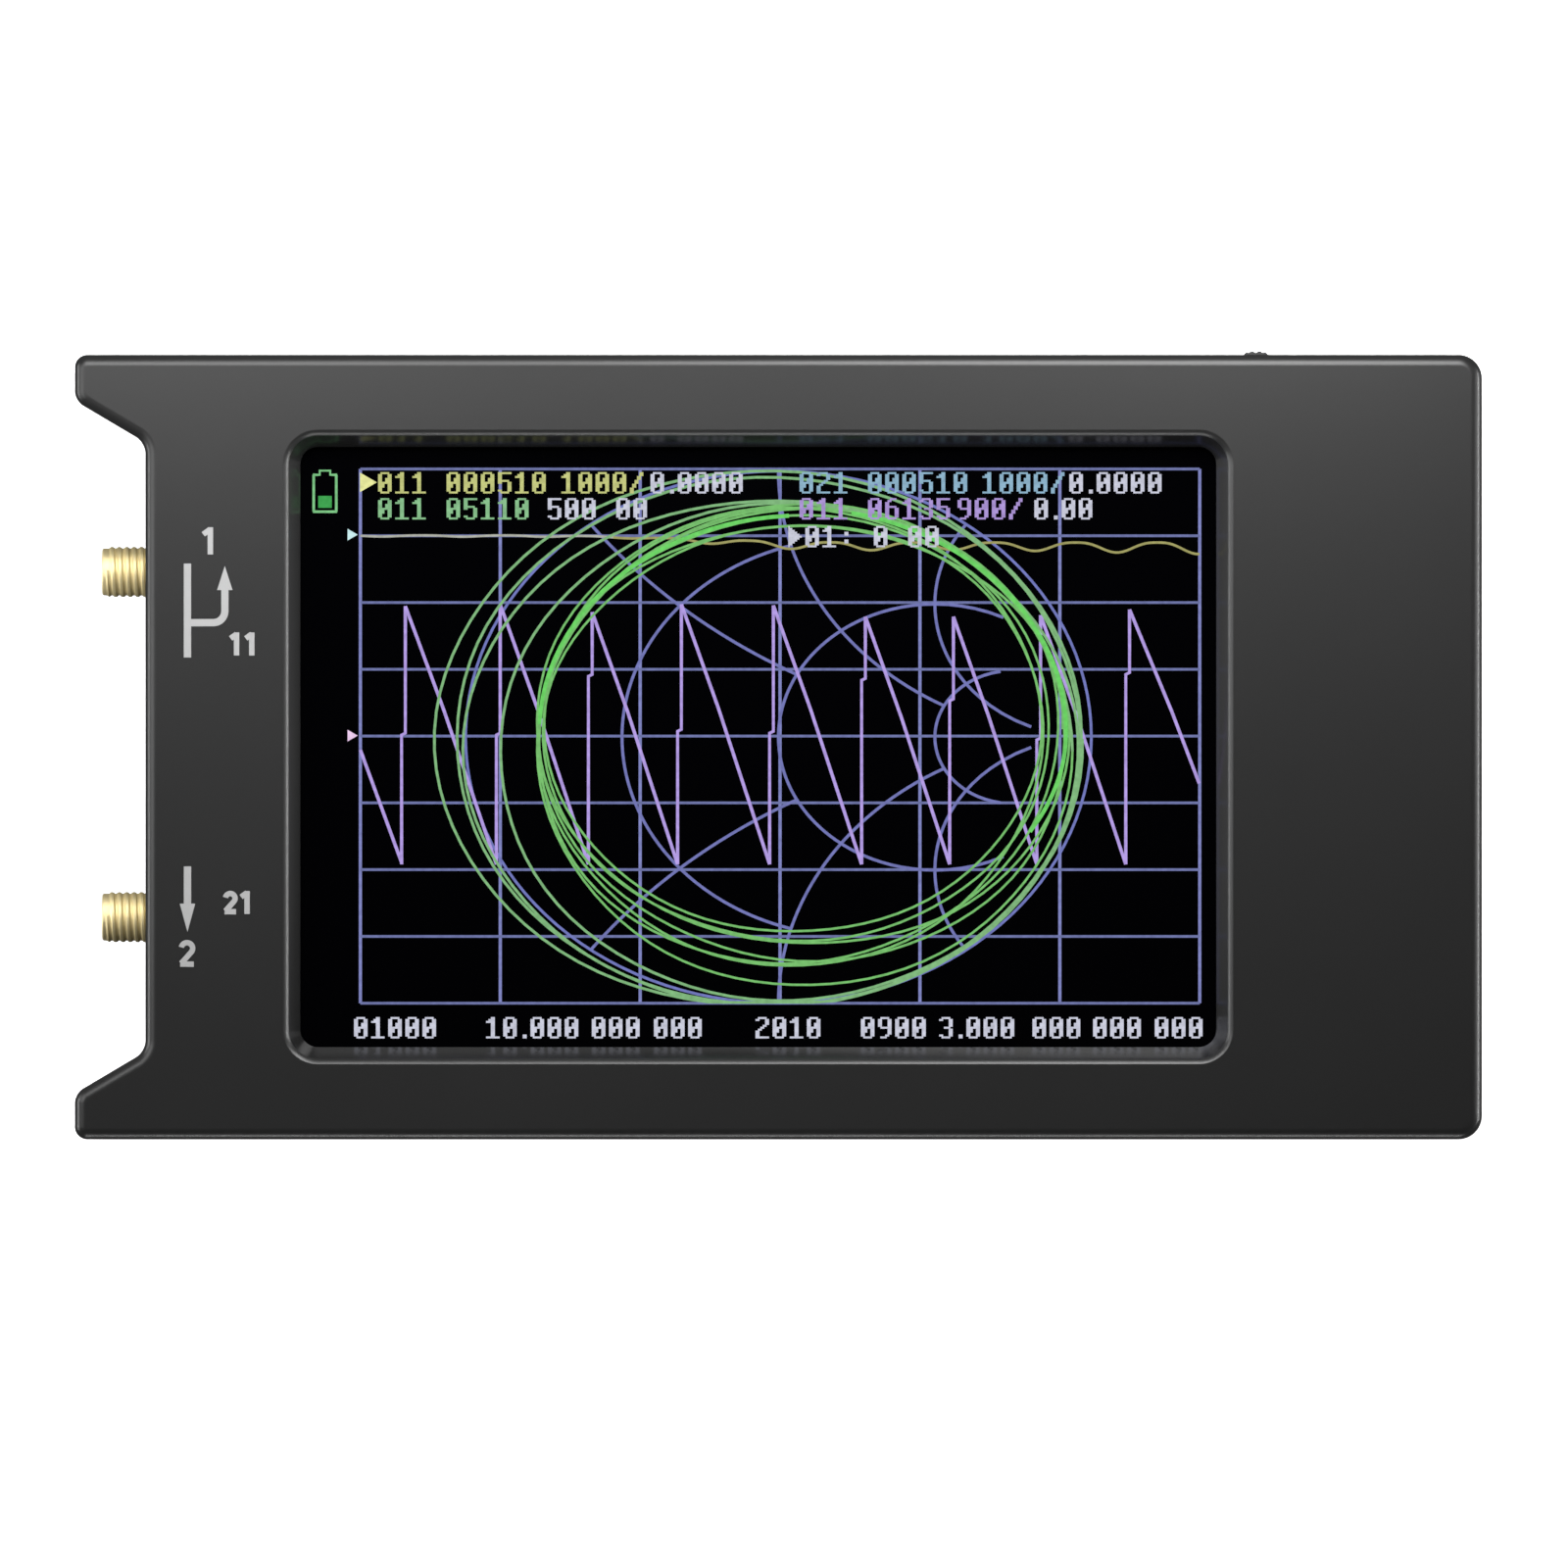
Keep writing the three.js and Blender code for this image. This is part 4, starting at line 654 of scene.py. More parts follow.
class ANALYZER_OT_front_cover(bpy.types.Operator):
    """Front cover: ears, rounded edge and a window with sloped sides"""

    bl_idname = "analyzer.front_cover"
    bl_label = "Front cover"

    def execute(self, context):
        values = context.scene.analyzer_housing
        radius, chamfer, run = (
            v / MM for v in (values.edge_radius, values.seam_chamfer, values.slope_run)
        )
        edge = quarter(THICKNESS, radius, 1)
        blank = stack(HOUSING_CORNERS, 0, [(SPLIT, -chamfer), (SPLIT + chamfer, 0.0), *edge])
        hollow = stack(HOUSING_CORNERS, WALL, [(SPLIT - 1, 0.0), (CEILING, 0.0)])
        groove = stack(HOUSING_CORNERS, 1.1, [(SPLIT - 1, 0.0), (SPLIT + 1.4, 0.0)])
        lip = self.lip_levels(run, values.lip_radius / MM)
        levels = [(CEILING - 1, 0.0), (CEILING + 0.3, 0.0), *lip, (THICKNESS + 1, lip[-1][1])]
        window = stack(rectangle(*WINDOW), 0, levels)
        # A frame under the face locates the display, with gaps for both flexible leads
        x0, y0, x1, y1 = DISPLAY
        frame_wall = block(x0 - 1.5, y0 - 1.5, CEILING - 4, x1 + 1.5, y1 + 1.5, CEILING + 0.5)
        frame_room = [
            block(x0 - 0.3, y0 - 0.3, CEILING - 5, x1 + 0.3, y1 + 0.3, CEILING),
            block(x1 - 1, -12.5, CEILING - 5, x1 + 2.5, 12.5, CEILING),
            block(x1 - 1, -27.55, CEILING - 5, x1 + 2.5, -21.55, CEILING),
        ]
        posts = post_rods(POST_RADIUS, BOARD_FRONT, CEILING + 0.5)
        posts += post_webs(11.82, CEILING + 0.5)
        mesh = carve(carve(blank, [hollow, groove]), [], [carve(frame_wall, frame_room), *posts])
        mesh = carve(mesh, [window, *post_rods(PILOT_RADIUS, 9.8, 15.8), *wall_cutters()])
        for face in mesh.polygons:
            x, y, z = face.center / MM
            inside = WINDOW[0] - run < x < WINDOW[2] + run and abs(y) < WINDOW[3] + run
            face.material_index = 1 if inside and CEILING < z < lip[0][0] else 0
        name, finishes = "front_cover_shell", ("front", "slope")
        finish_piece(name, mesh, finishes, replaces=("front_cover",))
        return {"FINISHED"}

    def lip_levels(self, run, radius):
        """The lip's levels, from the end of the slope up to the face."""
        turns = [math.radians(SLOPE_TILT - (SLOPE_TILT - FACE_TILT) * k / 8) for k in range(9)]
        steep, flat = turns[0], turns[-1]
        foot = THICKNESS - radius * (math.cos(flat) - math.cos(steep))
        return [
            (
                foot + radius * (math.cos(t) - math.cos(steep)),
                run + radius * (math.sin(steep) - math.sin(t)),
            )
            for t in turns
        ]


class ANALYZER_OT_rear_cover(bpy.types.Operator):
    """Rear cover: rounded edge, tongue, screw posts with head pockets, ribs of the battery bay"""

    bl_idname = "analyzer.rear_cover"
    bl_label = "Rear cover"

    def execute(self, context):
        values = context.scene.analyzer_housing
        radius, chamfer = values.edge_radius / MM, values.seam_chamfer / MM
        edge = quarter(0.0, radius, -1)
        blank = stack(HOUSING_CORNERS, 0, [(SPLIT, -chamfer), (SPLIT - chamfer, 0.0), *edge])
        tip = [(SPLIT + 1.22, 0.0), (SPLIT + 1.28, -0.06)]
        tongue = stack(HOUSING_CORNERS, 1.22, [(SPLIT - 0.5, 0.0), *tip])
        hollow = stack(HOUSING_CORNERS, WALL, [(WALL, 0.0), (SPLIT + 2, 0.0)])
        x0, y0, x1, y1 = BATTERY_BAY
        # Ribs stand round the battery's four corners only
        bay = carve(
            block(x0 - 1.2, y0 - 1.2, 1.5, x1 + 1.2, y1 + 1.2, 5.0),
            [
                block(x0, y0, 1.0, x1, y1, 6.0),
                block(x0 + 7, y0 - 3, 1.0, x1 - 7, y1 + 3, 6.0),
                block(x0 - 3, y0 + 7, 1.0, x1 + 3, y1 - 7, 6.0),
            ],
        )
        inner = [*post_rods(POST_RADIUS, 1.5, BOARD_BACK), *post_webs(1.5, SPLIT - 1.4), bay]
        mesh = carve(carve(blank, [], [tongue]), [hollow])
        mesh = carve(mesh, [], inner)
        pockets = post_rods(POCKET_RADIUS, -1.0, 2.7)
        holes = post_rods(SCREW_HOLE_RADIUS, 0.0, 10.0)
        mesh = carve(mesh, [*pockets, *holes, *wall_cutters()])
        finish_piece("rear_cover_shell", mesh, "rear", replaces=("rear_cover",))
        return {"FINISHED"}


class ANALYZER_OT_screws(bpy.types.Operator):
    """Four pan-head screws with a cross recess"""

    bl_idname = "analyzer.screws"
    bl_label = "Screws"

    def execute(self, context):
        turns = [k * math.pi / 20 for k in range(11)]
        dome = [(2.3 * math.sin(t), 1.0 + 0.55 * (1 - math.cos(t))) for t in turns]
        profile = [*dome, (2.3, 2.7), (1.2, 2.7), (1.2, 14.6), (0.8, 15.0), (0.0, 15.0)]
        # The two arms of the cross taper towards its floor
        arms = ((1.3, 0.26), (0.26, 1.3))
        taper = [(0.5, 0.0), (2.0, -0.14)]
        for i, (x, y) in enumerate(POSTS, 1):
            cross = [stack(rectangle(-w, -h, w, h, 0.22), 0, taper, 4) for w, h in arms]
            mesh = carve(to_mesh(spun(profile, 40)), cross)
            mesh.transform(Matrix.Translation((x * MM, y * MM, 0)))
            name = f"rear_screw_{i}"
            finish_piece(f"{name}_cross_head", mesh, "screw", replaces=(name,))
        return {"FINISHED"}


class ANALYZER_OT_face_print(bpy.types.Operator):
    """Printed port numbers and signal arrows on the front face"""

    bl_idname = "analyzer.face_print"
    bl_label = "Face print"

    def execute(self, context):
        self.stroke = context.scene.analyzer_housing.print_stroke / MM
        # One line runs from port to port, and a branch leaves it and turns towards port 1
        through, branch, level, radius = -56.45, -52.88, 11.88, 1.1
        turns = [math.pi / 2 * k / 8 for k in range(9)]
        bend = [
            (branch - radius + radius * math.sin(t), level + radius - radius * math.cos(t))
            for t in turns
        ]
        strokes = [
            [(through, 8.56), (through, 17.53)],
            [(through, level), (-54.4, level), *bend, (branch, 15.4)],
            [(through, -15.3), (through, -11.4)],
        ]
        self.ink("face_print_lines", strokes)
        heads = bmesh.new()
        for tip, base, x in ((17.3, 15.0, branch), (-17.67, -14.96, through)):
            middle = (2 * base + tip) / 3
            place = Matrix.Translation((x * MM, middle * MM, (THICKNESS + 0.006) * MM))
            spread = Matrix.Diagonal((0.85, (tip - base) / 1.5, 1.0, 1.0))
            add_prism(heads, 3, 1.0, 0.012, place @ spread)
        finish_piece("face_print_arrowheads", to_mesh(heads), "ink")
        for name, words, left, base, height in (
            ("port_1", "1", -55.2, 18.4, 2.6),
            ("reflected", "11", -52.55, 8.75, 2.2),
            ("through", "21", -53.0, -15.95, 2.2),
            ("port_2", "2", -57.25, -21.0, 2.6),
        ):
            strokes = [
                [(left + (0.66 * i + u) * height, base + v * height) for u, v in stroke]
                for i, word in enumerate(words)
                for stroke in NUMERALS[word]
            ]
            self.ink(f"face_print_{name}", strokes, 0.52 / self.stroke)
        return {"FINISHED"}

    def ink(self, name, strokes, width=1.0):
        """Printed lines, some times as wide as the usual stroke."""
        mesh = drawn_lines(strokes, self.stroke * width, THICKNESS + 0.003, SHEET)
        finish_piece(name, mesh, "ink")


# Strokes of the printed numerals, as shares of their height
BOWL = [
    (0.29 + 0.21 * math.cos(math.radians(turn)), 0.68 + 0.21 * math.sin(math.radians(turn)))
    for turn in range(170, -46, -12)
]
NUMERALS = {
    "1": ([(0.36, 0.0), (0.36, 1.0)], [(0.1, 0.74), (0.36, 0.93)]),
    "2": ([*BOWL, (0.08, 0.13)], [(0.04, 0.1), (0.54, 0.1)]),
}


def drawn_lines(lines, width, z, thickness, closed=False):
    """Flat ribbons along lines of (x, y) points, made a mesh and laid at height z."""
    curve = bpy.data.curves.new("lines", "CURVE")
    curve.dimensions = "3D"
    curve.fill_mode = "FULL"
    curve.bevel_depth = width / 2 * MM
    curve.bevel_resolution = 0
    curve.use_fill_caps = True
    for points in lines:
        spline = curve.splines.new("POLY")
        spline.points.add(len(points) - 1)
        spline.use_cyclic_u = closed
        for point, (x, y) in zip(spline.points, points):
            point.co = (x * MM, y * MM, 0, 1)
    holder = bpy.data.objects.new("lines", curve)
    bpy.context.scene.collection.objects.link(holder)
    graph = bpy.context.evaluated_depsgraph_get()
    mesh = bpy.data.meshes.new_from_object(holder.evaluated_get(graph))
    bpy.data.objects.remove(holder)
    flat = Matrix.Diagonal((1, 1, thickness / width, 1))
    mesh.transform(Matrix.Translation((0, 0, z * MM)) @ flat)
    whole = bmesh.new()
    whole.from_mesh(mesh)
    bpy.data.meshes.remove(mesh)
    return to_mesh(whole)


# Rows of each figure from the top, six pixels wide, as pairs of octal digits
FIGURES = {
    "0": "3663636767777373636336",
    "1": "1434741414141414141477",
    "2": "3663030306143060606077",
    "3": "3663030303160303036336",
    "4": "0616363666667706060606",
    "5": "7760606076630303036336",
    "6": "1630606076636363636336",
    "7": "7703030606141430303030",
    "8": "3663636363366363636336",
    "9": "3663636363370303030634",
    ".": "0000000000000000003030",
    ":": "0000001414000014140000",
    "/": "0303060614143030606060",
    ">": "4060707476777674706040",
}
# In display pixels: a figure's column and row, how far each end of a run is drawn in, and how far
# a figure or a point moves the next one on
FIGURE_COLUMN = 1.27
FIGURE_ROW = 1.03
FIGURE_TRIM = 0.22
FIGURE_ADVANCE = 9.1
POINT_ADVANCE = 5.4
FIGURE_LAYER = 8
FIGURE_HEIGHT = GLASS_TOP + SCREEN_LAYER * FIGURE_LAYER

# The grid's left and top, and the round chart's centre, half width and half height, in pixels
GRID_LEFT = 28.4
GRID_TOP = 12.3
CHART = (250.6, 154.8, 166.3, 141.4)


def screen_point(px, py):
    """A display pixel's place on the glass; pixels count from the picture's upper left corner."""
    x, y = DISPLAY_CENTRE
    return x + (px - PIXELS[0] / 2) * PIXEL, y + (PIXELS[1] / 2 - py) * PIXEL


def swing(start, end, share):
    """A smooth change from start to end as share runs from 0 to 1."""
    share = min(max(share, 0.0), 1.0)
    return start + (end - start) * share * share * (3 - 2 * share)


class ANALYZER_OT_touch_screen(bpy.types.Operator):
    """Touch glass, and the measurement picture that the display shows"""

    bl_idname = "analyzer.touch_screen"
    bl_label = "Touch screen"

    def execute(self, context):
        values = context.scene.analyzer_display
        self.width = values.line_width / MM
        self.strength = values.brightness
        low, high = (Vector(c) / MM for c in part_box("touch_panel"))
        glass = box(low, high, 0.12, 2)
        finish_piece("touch_glass", glass, "glass", replaces=("touch_panel",))
        dress("panel", "display_panel")
        dress("tray", "backlight_tray")
        dress("foam", "window_gasket", "display_tape_upper", "display_tape_lower")
        dress("film", "display_lead", "touch_lead")
        dress("white", "display_connector")
        dress("package", "display_connector_latch")
        self.grid()
        self.chart()
        self.saw()
        self.levels()
        self.loops()
        self.figures()
        self.markers()
        return {"FINISHED"}

    def show(self, name, mesh, code, pixels=None):
        """A piece of lit pixels with a colour of its own."""
        MATERIALS[name] = lit(f"lit_pixels_{pixels or name}", code, self.strength)
        finish_piece(name, mesh, name)

    def lines(self, name, lines, code, layer, width, closed=False):
        """Lines through display pixels, some times as wide as the usual line."""
        placed = [[screen_point(*p) for p in points] for points in lines]
        z = GLASS_TOP + SCREEN_LAYER * layer
        self.show(name, drawn_lines(placed, self.width * width, z, SHEET, closed), code)

    def grid(self):
        x0, dx, columns = GRID_LEFT, 74.35, 6
        y0, dy, rows = GRID_TOP, 35.49, 8
        x1, y1 = x0 + dx * columns, y0 + dy * rows
        upright = [[(x0 + dx * i, y0), (x0 + dx * i, y1)] for i in range(columns + 1)]
        level = [[(x0, y0 + dy * i), (x1, y0 + dy * i)] for i in range(rows + 1)]
        self.lines("grid_uprights", upright, "#7e83bd", 1, 1.5)
        self.lines("grid_levels", level, "#6d74a6", 2, 1.25)

    def chart(self):
        """The round chart, of circles of equal resistance and arcs of equal reactance."""
        turns = [2 * math.pi * k / 120 for k in range(120)]
        edge = [self.gamma(math.cos(a), math.sin(a)) for a in turns]
        self.lines("chart_edge", [edge], "#7178bb", 3, 1.3, closed=True)
        curves = []
        for resistance, reach in ((1 / 3, 1.0), (1.0, 3.2), (3.0, 3.4)):
            turns = [math.atan(reach) * k / 40 for k in range(-40, 41)]
            curves.append([self.matched(complex(resistance, math.tan(a))) for a in turns])
        for reactance, reach in ((0.5, 1.0), (1.0, 3.0), (2.0, 9.0)):
            turns = [math.atan(reach) * k / 40 for k in range(41)]
            for side in (reactance, -reactance):
                curves.append([self.matched(complex(math.tan(a), side)) for a in turns])
        self.lines("chart_curves", curves, "#7276b4", 3, 1.4)

    def matched(self, impedance):
        """An impedance's place on the chart, by the reflection it gives."""
        value = (impedance - 1) / (impedance + 1)
        return self.gamma(value.real, value.imag)

    def gamma(self, u, v):
        """A reflection's place on the chart."""
        x, y, wide, high = CHART
        return x + wide * u, y - high * v

    def saw(self):
        """The phase: an upright rise with one step in it, then a slow fall, again and again."""
        teeth = (
            (52.3, 85.2, 153.7),
            (102.7, 84.2, 153.7),
            (151.6, 88.4, 122.5),
            (199.0, 84.2, 151.7),
            (247.9, 84.8, 152.7),
            (296.8, 90.8, 124.6),
            (343.6, 90.8, 135.5),
            (389.9, 90.0, 156.3),
            (437.2, 87.0, 121.5),
        )
        foot, step, chart_end = 222.4, 2.0, 474.2
        strokes = [[(GRID_LEFT, 161.6), (50.3, 221.4)]]
        for (top, peak, jog), (after, _, _) in zip(teeth, (*teeth[1:], (492.6, 0, 0))):
            strokes.append([(top - step, foot), (top - step, jog), (top, jog - 1.0), (top, peak)])
            end = after - step
            # The fall starts steep and eases at a knee
            knee = (top + (end - top) * 0.42, peak + (foot - peak) * 0.40)
            # The last tooth runs off the chart's right edge
            last = min(end, chart_end)
            share = (last - knee[0]) / (end - knee[0])
            strokes.append([(top, peak), knee, (last, knee[1] + (foot - knee[1]) * share)])
        self.lines("phase_trace", strokes, "#b29be2", 5, 1.55)

    def levels(self):
        """The level runs nearly flat at first, then sinks a little and dips again and again."""
        start, sink, period, last_dip = 47.6, 3.8, 43.4, 473.6
        points = []
        for k in range(220):
            s = k / 219
            x = GRID_LEFT + 446.0 * s
            dip = (0.5 + 0.5 * math.cos(2 * math.pi * (x - last_dip) / period)) ** 1.5
            sway = 0.7 + 5.9 * swing(0, 1, (s - 0.3) / 0.3)
            depth = sway * dip * (0.8 + 0.2 * math.sin(7 * s))
            points.append((x, start + swing(0.0, sink, (s - 0.2) / 0.4) + depth))
        # The first third of the line is greyer than the rest
        near = 66
        self.lines("level_trace_near", [points[: near + 1]], "#aeb0a6", 4, 1.1)
        self.lines("level_trace_far", [points[near:]], "#a09d62", 4, 1.15)

    def loops(self):
        """The reflection turns eleven times, from four wide loops in to seven close ones."""
        turns = 11.0
        points = []
        for k in range(960):
            t = turns * k / 959
            angle = -2 * math.pi * t
            left = self.drift((68.4, 79.8, 82.9, 102.2, 123.0), 124.0, 2.0, t - 0.5, 1.9)
            top = self.drift((13.3, 16.4, 28.9, 31.0, 33.6), 36.7, 6.0, t - 0.75, 2.6)
            right = self.drift((412.2, 411.2, 409.6, 406.5, 403.4), 397.7, 7.4, t - 1.0, 2.2)
            bottom = self.drift((298.3, 298.0, 297.0, 294.7, 287.4), 267.2, 9.4, t - 0.25, 1.15)
            wobble = 0.5 * math.sin(17.3 * t) + 0.4 * math.sin(41.0 * t)
            x = (left + right) / 2 + (right - left) / 2 * math.cos(angle)
            y = (top + bottom) / 2 - (bottom - top) / 2 * math.sin(angle)
            x += wobble * math.cos(angle)
            y -= wobble * math.sin(angle)
            points.append((x, min(max(y, 12.8), 295.8)))
        # The first four turns are drawn wider than the close ones
        wide = 349
        self.lines("reflection_trace_wide", [points[: wide + 1]], "#7fb57c", 6, 1.3)
        self.lines("reflection_trace_close", [points[wide:]], "#76bd6c", 6, 1.1)
        # Where the close loops lie on each other they read as one brighter band. Each stretch has
        # its first and last angle, its middle, and its half width and half height.
        band = []
        for first, last, middle, wide, high in (
            (178, 93, 263.5, 140, 115),
            (78, 0, 259.5, 144, 119),
            (0, -30, 259.5, 144, 106),
        ):
            angles = [math.radians(first + (last - first) * k / 24) for k in range(25)]
            band.append([(middle + wide * math.cos(a), 152.0 - high * math.sin(a)) for a in angles])
        self.lines("reflection_trace_band", band, "#6cd264", 7, 1.9)

    def drift(self, first, mean, sway, t, rate):
        """One side of the loops after t turns: at its first places, then swaying round a mean."""
        k = min(max(int(t), 0), len(first) - 1)
        if k < len(first) - 1:
            return swing(first[k], first[k + 1], t - k)
        later = t - k
        return swing(first[-1], mean + sway * math.sin(rate * later * 2.1), later)

    def figures(self):
        top, second, bottom = 14.0, 27.8, 303.6
        rows = (
            ("yellow", "#c2c67e", ((37.6, top, "011 000510"), (135.0, top, "1000/"))),
            ("green", "#86bd8a", ((37.6, second, "011 05110"),)),
            ("cyan", "#8cb2c9", ((261.6, top, "021 000510"), (358.8, top, "1000/"))),
            ("purple", "#ab93d4", ((261.6, second, "011 06135"), (345.6, second, "900/"))),
            (
                "white",
                "#c9cbdb",
                (
                    (182.4, top, "0.0000"),
                    (127.8, second, "500 00"),
                    (405.0, top, "0.0000"),
                    (386.4, second, "0.00"),
                    (255.6, 42.6, ">01: 0 00"),
                    (24.8, bottom, "01000"),
                    (95.0, bottom, "10.000"),
                    (151.2, bottom, "000"),
                    (184.2, bottom, "000"),
                    (238.2, bottom, "2010"),
                    (294.2, bottom, "0900"),
                    (335.8, bottom, "3.000"),
                    (385.4, bottom, "000"),
                    (417.6, bottom, "000"),
                    (450.4, bottom, "000"),
                ),
            ),
        )
        for name, code, texts in rows:
            bm = bmesh.new()
            for left, height, words in texts:
                for letter in words:
                    for row in range(11 if letter in FIGURES else 0):
                        bits = f"{int(FIGURES[letter][2 * row : 2 * row + 2], 8):06b}"
                        self.runs(bm, left, height + FIGURE_ROW * row, bits)
                    left += POINT_ADVANCE if letter == "." else FIGURE_ADVANCE
            self.show(f"figures_{name}", to_mesh(bm), code, name)

    def runs(self, bm, left, top, bits):
        """One thin block for each unbroken run of lit pixels in a row."""
        start = 0
        while "1" in bits[start:]:
            first = bits.index("1", start)
            last = first
            while last < len(bits) and bits[last] == "1":
                last += 1
            x0, y1 = screen_point(left + FIGURE_COLUMN * first + FIGURE_TRIM, top)
            foot = top + FIGURE_ROW * 0.99
            x1, y0 = screen_point(left + FIGURE_COLUMN * last - FIGURE_TRIM, foot)
            box((x0, y0, FIGURE_HEIGHT), (x1, y1, FIGURE_HEIGHT + SHEET), bm=bm)
            start = last

    def markers(self):
        z = FIGURE_HEIGHT
        point_right = Matrix.Rotation(-math.pi / 2, 4, "Z")
        for name, code, px, py, radius in (
            ("reference_cyan", "#c6eef5", 23.4, 47.2, 3.6),
            ("reference_pink", "#e9c8ee", 23.4, 154.0, 3.6),
            ("active_yellow", "#e6e89c", 31.2, 19.4, 6.0),
        ):
            x, y = screen_point(px, py)
            place = Matrix.Translation((x * MM, y * MM, (z + SHEET / 2) * MM))
            bm = bmesh.new()
            add_prism(bm, 3, radius * PIXEL, SHEET, place @ point_right)
            self.show(name, to_mesh(bm), code)
        case = [
            [(3.6, 15.4), (3.6, 35.0)],
            [(3.2, 35.0), (16.0, 35.0)],
            [(15.6, 35.0), (15.6, 15.4)],
            [(3.2, 15.4), (6.8, 15.4), (6.8, 13.2), (12.4, 13.2), (12.4, 15.4), (16.0, 15.4)],
        ]
        self.lines("battery_case", case, "#7bc283", FIGURE_LAYER, 1.25)
        x0, y0 = screen_point(6.0, 33.0)
        x1, y1 = screen_point(13.2, 26.6)
        self.show("battery_level", box((x0, y0, z), (x1, y1, z + SHEET), 0.004, 1), "#3fa350")


class ANALYZER_OT_ports(bpy.types.Operator):
    """Two coaxial jacks with cut threads, dielectrics and slotted contacts"""

    bl_idname = "analyzer.ports"
    bl_label = "Coaxial ports"

    def execute(self, context):
        values = context.scene.analyzer_ports
        for i, y in enumerate(PORTS, 1):
            self.jack(f"port_{i}_jack", y, values)
            self.insulator(f"port_{i}_dielectric", y)
            self.contact(f"port_{i}_contact", y)
        return {"FINISHED"}

    def jack(self, name, y, values):
        outer, pitch, depth = (
            v / MM for v in (values.thread_radius, values.thread_pitch, values.thread_depth)
        )
        # Distances run outwards from the board's edge
        core = outer - depth
        tip, neck, mouth = 8.8, 2.4, 6.9
        barrel = spun([(0, 0.8), (core, 0.8), (core, tip - 0.12), (core - 0.12, tip), (0, tip)])
        ridge = self.thread(core, outer, pitch, neck + 0.35, tip - 0.4)
        end = tip + 0.1
        flare = [(1.7, mouth), (1.7, tip - 0.1), (1.9, end), (0, end)]
        bore = spun([(0, -1), (1.43, -1), (1.43, mouth), *flare])
        for body in (barrel, ridge, bore):
            toward_port(body, y)
        half, leg = 2.9, 0.8
        flange = box(
            (BOARD_EDGE - 1.6, y - half, PORT_AXIS - half),
            (BOARD_EDGE, y + half, PORT_AXIS + half),
            0.15,
            2,
        )
        # The flange's legs clasp the board
        added = [to_mesh(ridge), flange]
        x0, x1 = BOARD_EDGE - 0.5, BOARD_EDGE + 4.5
        for y0 in (y - half, y + half - leg):
            for z0 in (BOARD_BACK - leg, BOARD_FRONT):
                added.append(block(x0, y0, z0, x1, y0 + leg, z0 + leg))
        mesh = carve(to_mesh(barrel), [to_mesh(bore)], added)
        threaded = f"{name}_threaded"
        finish_piece(threaded, mesh, "gold", replaces=(name,), angle=28)

    def thread(self, core, outer, pitch, start, end):
        """One ridge, swept along the barrel, that fades in and out over a third of a turn."""
        foot = core - 0.03
        profile = [(foot, 0.44), (core, 0.42), (outer, 0.16)]
        points = [(r, -a) for r, a in profile] + profile[::-1]
        ridge = bmesh.new()
        verts = [ridge.verts.new((r * MM, 0, (start + a * pitch) * MM)) for r, a in points]
        section = ridge.faces.new(verts)
        turns = (end - start) / pitch
        steps = int(48 * turns)
        bmesh.ops.spin(
            ridge,
            geom=[section, *section.edges, *section.verts],
            cent=(0, 0, 0),
            axis=(0, 0, 1),
            dvec=(0, 0, pitch * MM * turns / steps),
            angle=2 * math.pi * turns,
            steps=steps,
        )
        for vert in ridge.verts:
            radius = math.hypot(vert.co.x, vert.co.y)
            along = (vert.co.z / MM - start) / pitch
            share = min(1.0, max(0.0, min(along, turns - along) * 3 + 0.1))
            wanted = foot * MM + (radius - foot * MM) * share
            vert.co.x *= wanted / radius
            vert.co.y *= wanted / radius
        return ridge

    def insulator(self, name, y):
        inner, outer, end = 0.45, 1.4, 6.9
        mouth = [(outer, end - 0.08), (outer - 0.08, end), (inner + 0.05, end), (inner, end - 0.05)]
        bm = spun([(inner, 0.0), (outer, 0.0), *mouth, (inner, 0.0)], 56)
        toward_port(bm, y)
        sleeve = f"{name}_sleeve"
        finish_piece(sleeve, to_mesh(bm), "ptfe", replaces=(name,))

    def contact(self, name, y):
        tail, radius = 0.38, 0.42
        pin = [(0, -3), (tail, -3), (tail, 0), (radius, 0), (radius, 6.82), (0.36, 6.88), (0, 6.88)]
        socket = spun([(0, 4.1), (0.27, 4.3), (0.27, 6.8), (0.32, 7.0), (0, 7.0)], 40)
        # Two crossed slits part the socket into four springs
        half, length = 0.05, 0.5
        slits = [
            box((-wide, -high, 4.9), (wide, high, 7.2))
            for wide, high in ((half, length), (length, half))
        ]
        turned = bmesh.new()
        turned.from_mesh(carve(to_mesh(spun(pin, 40)), [to_mesh(socket), *slits]))
        toward_port(turned, y)
        slotted = f"{name}_slotted"
        finish_piece(slotted, to_mesh(turned), "gold", replaces=(name,))


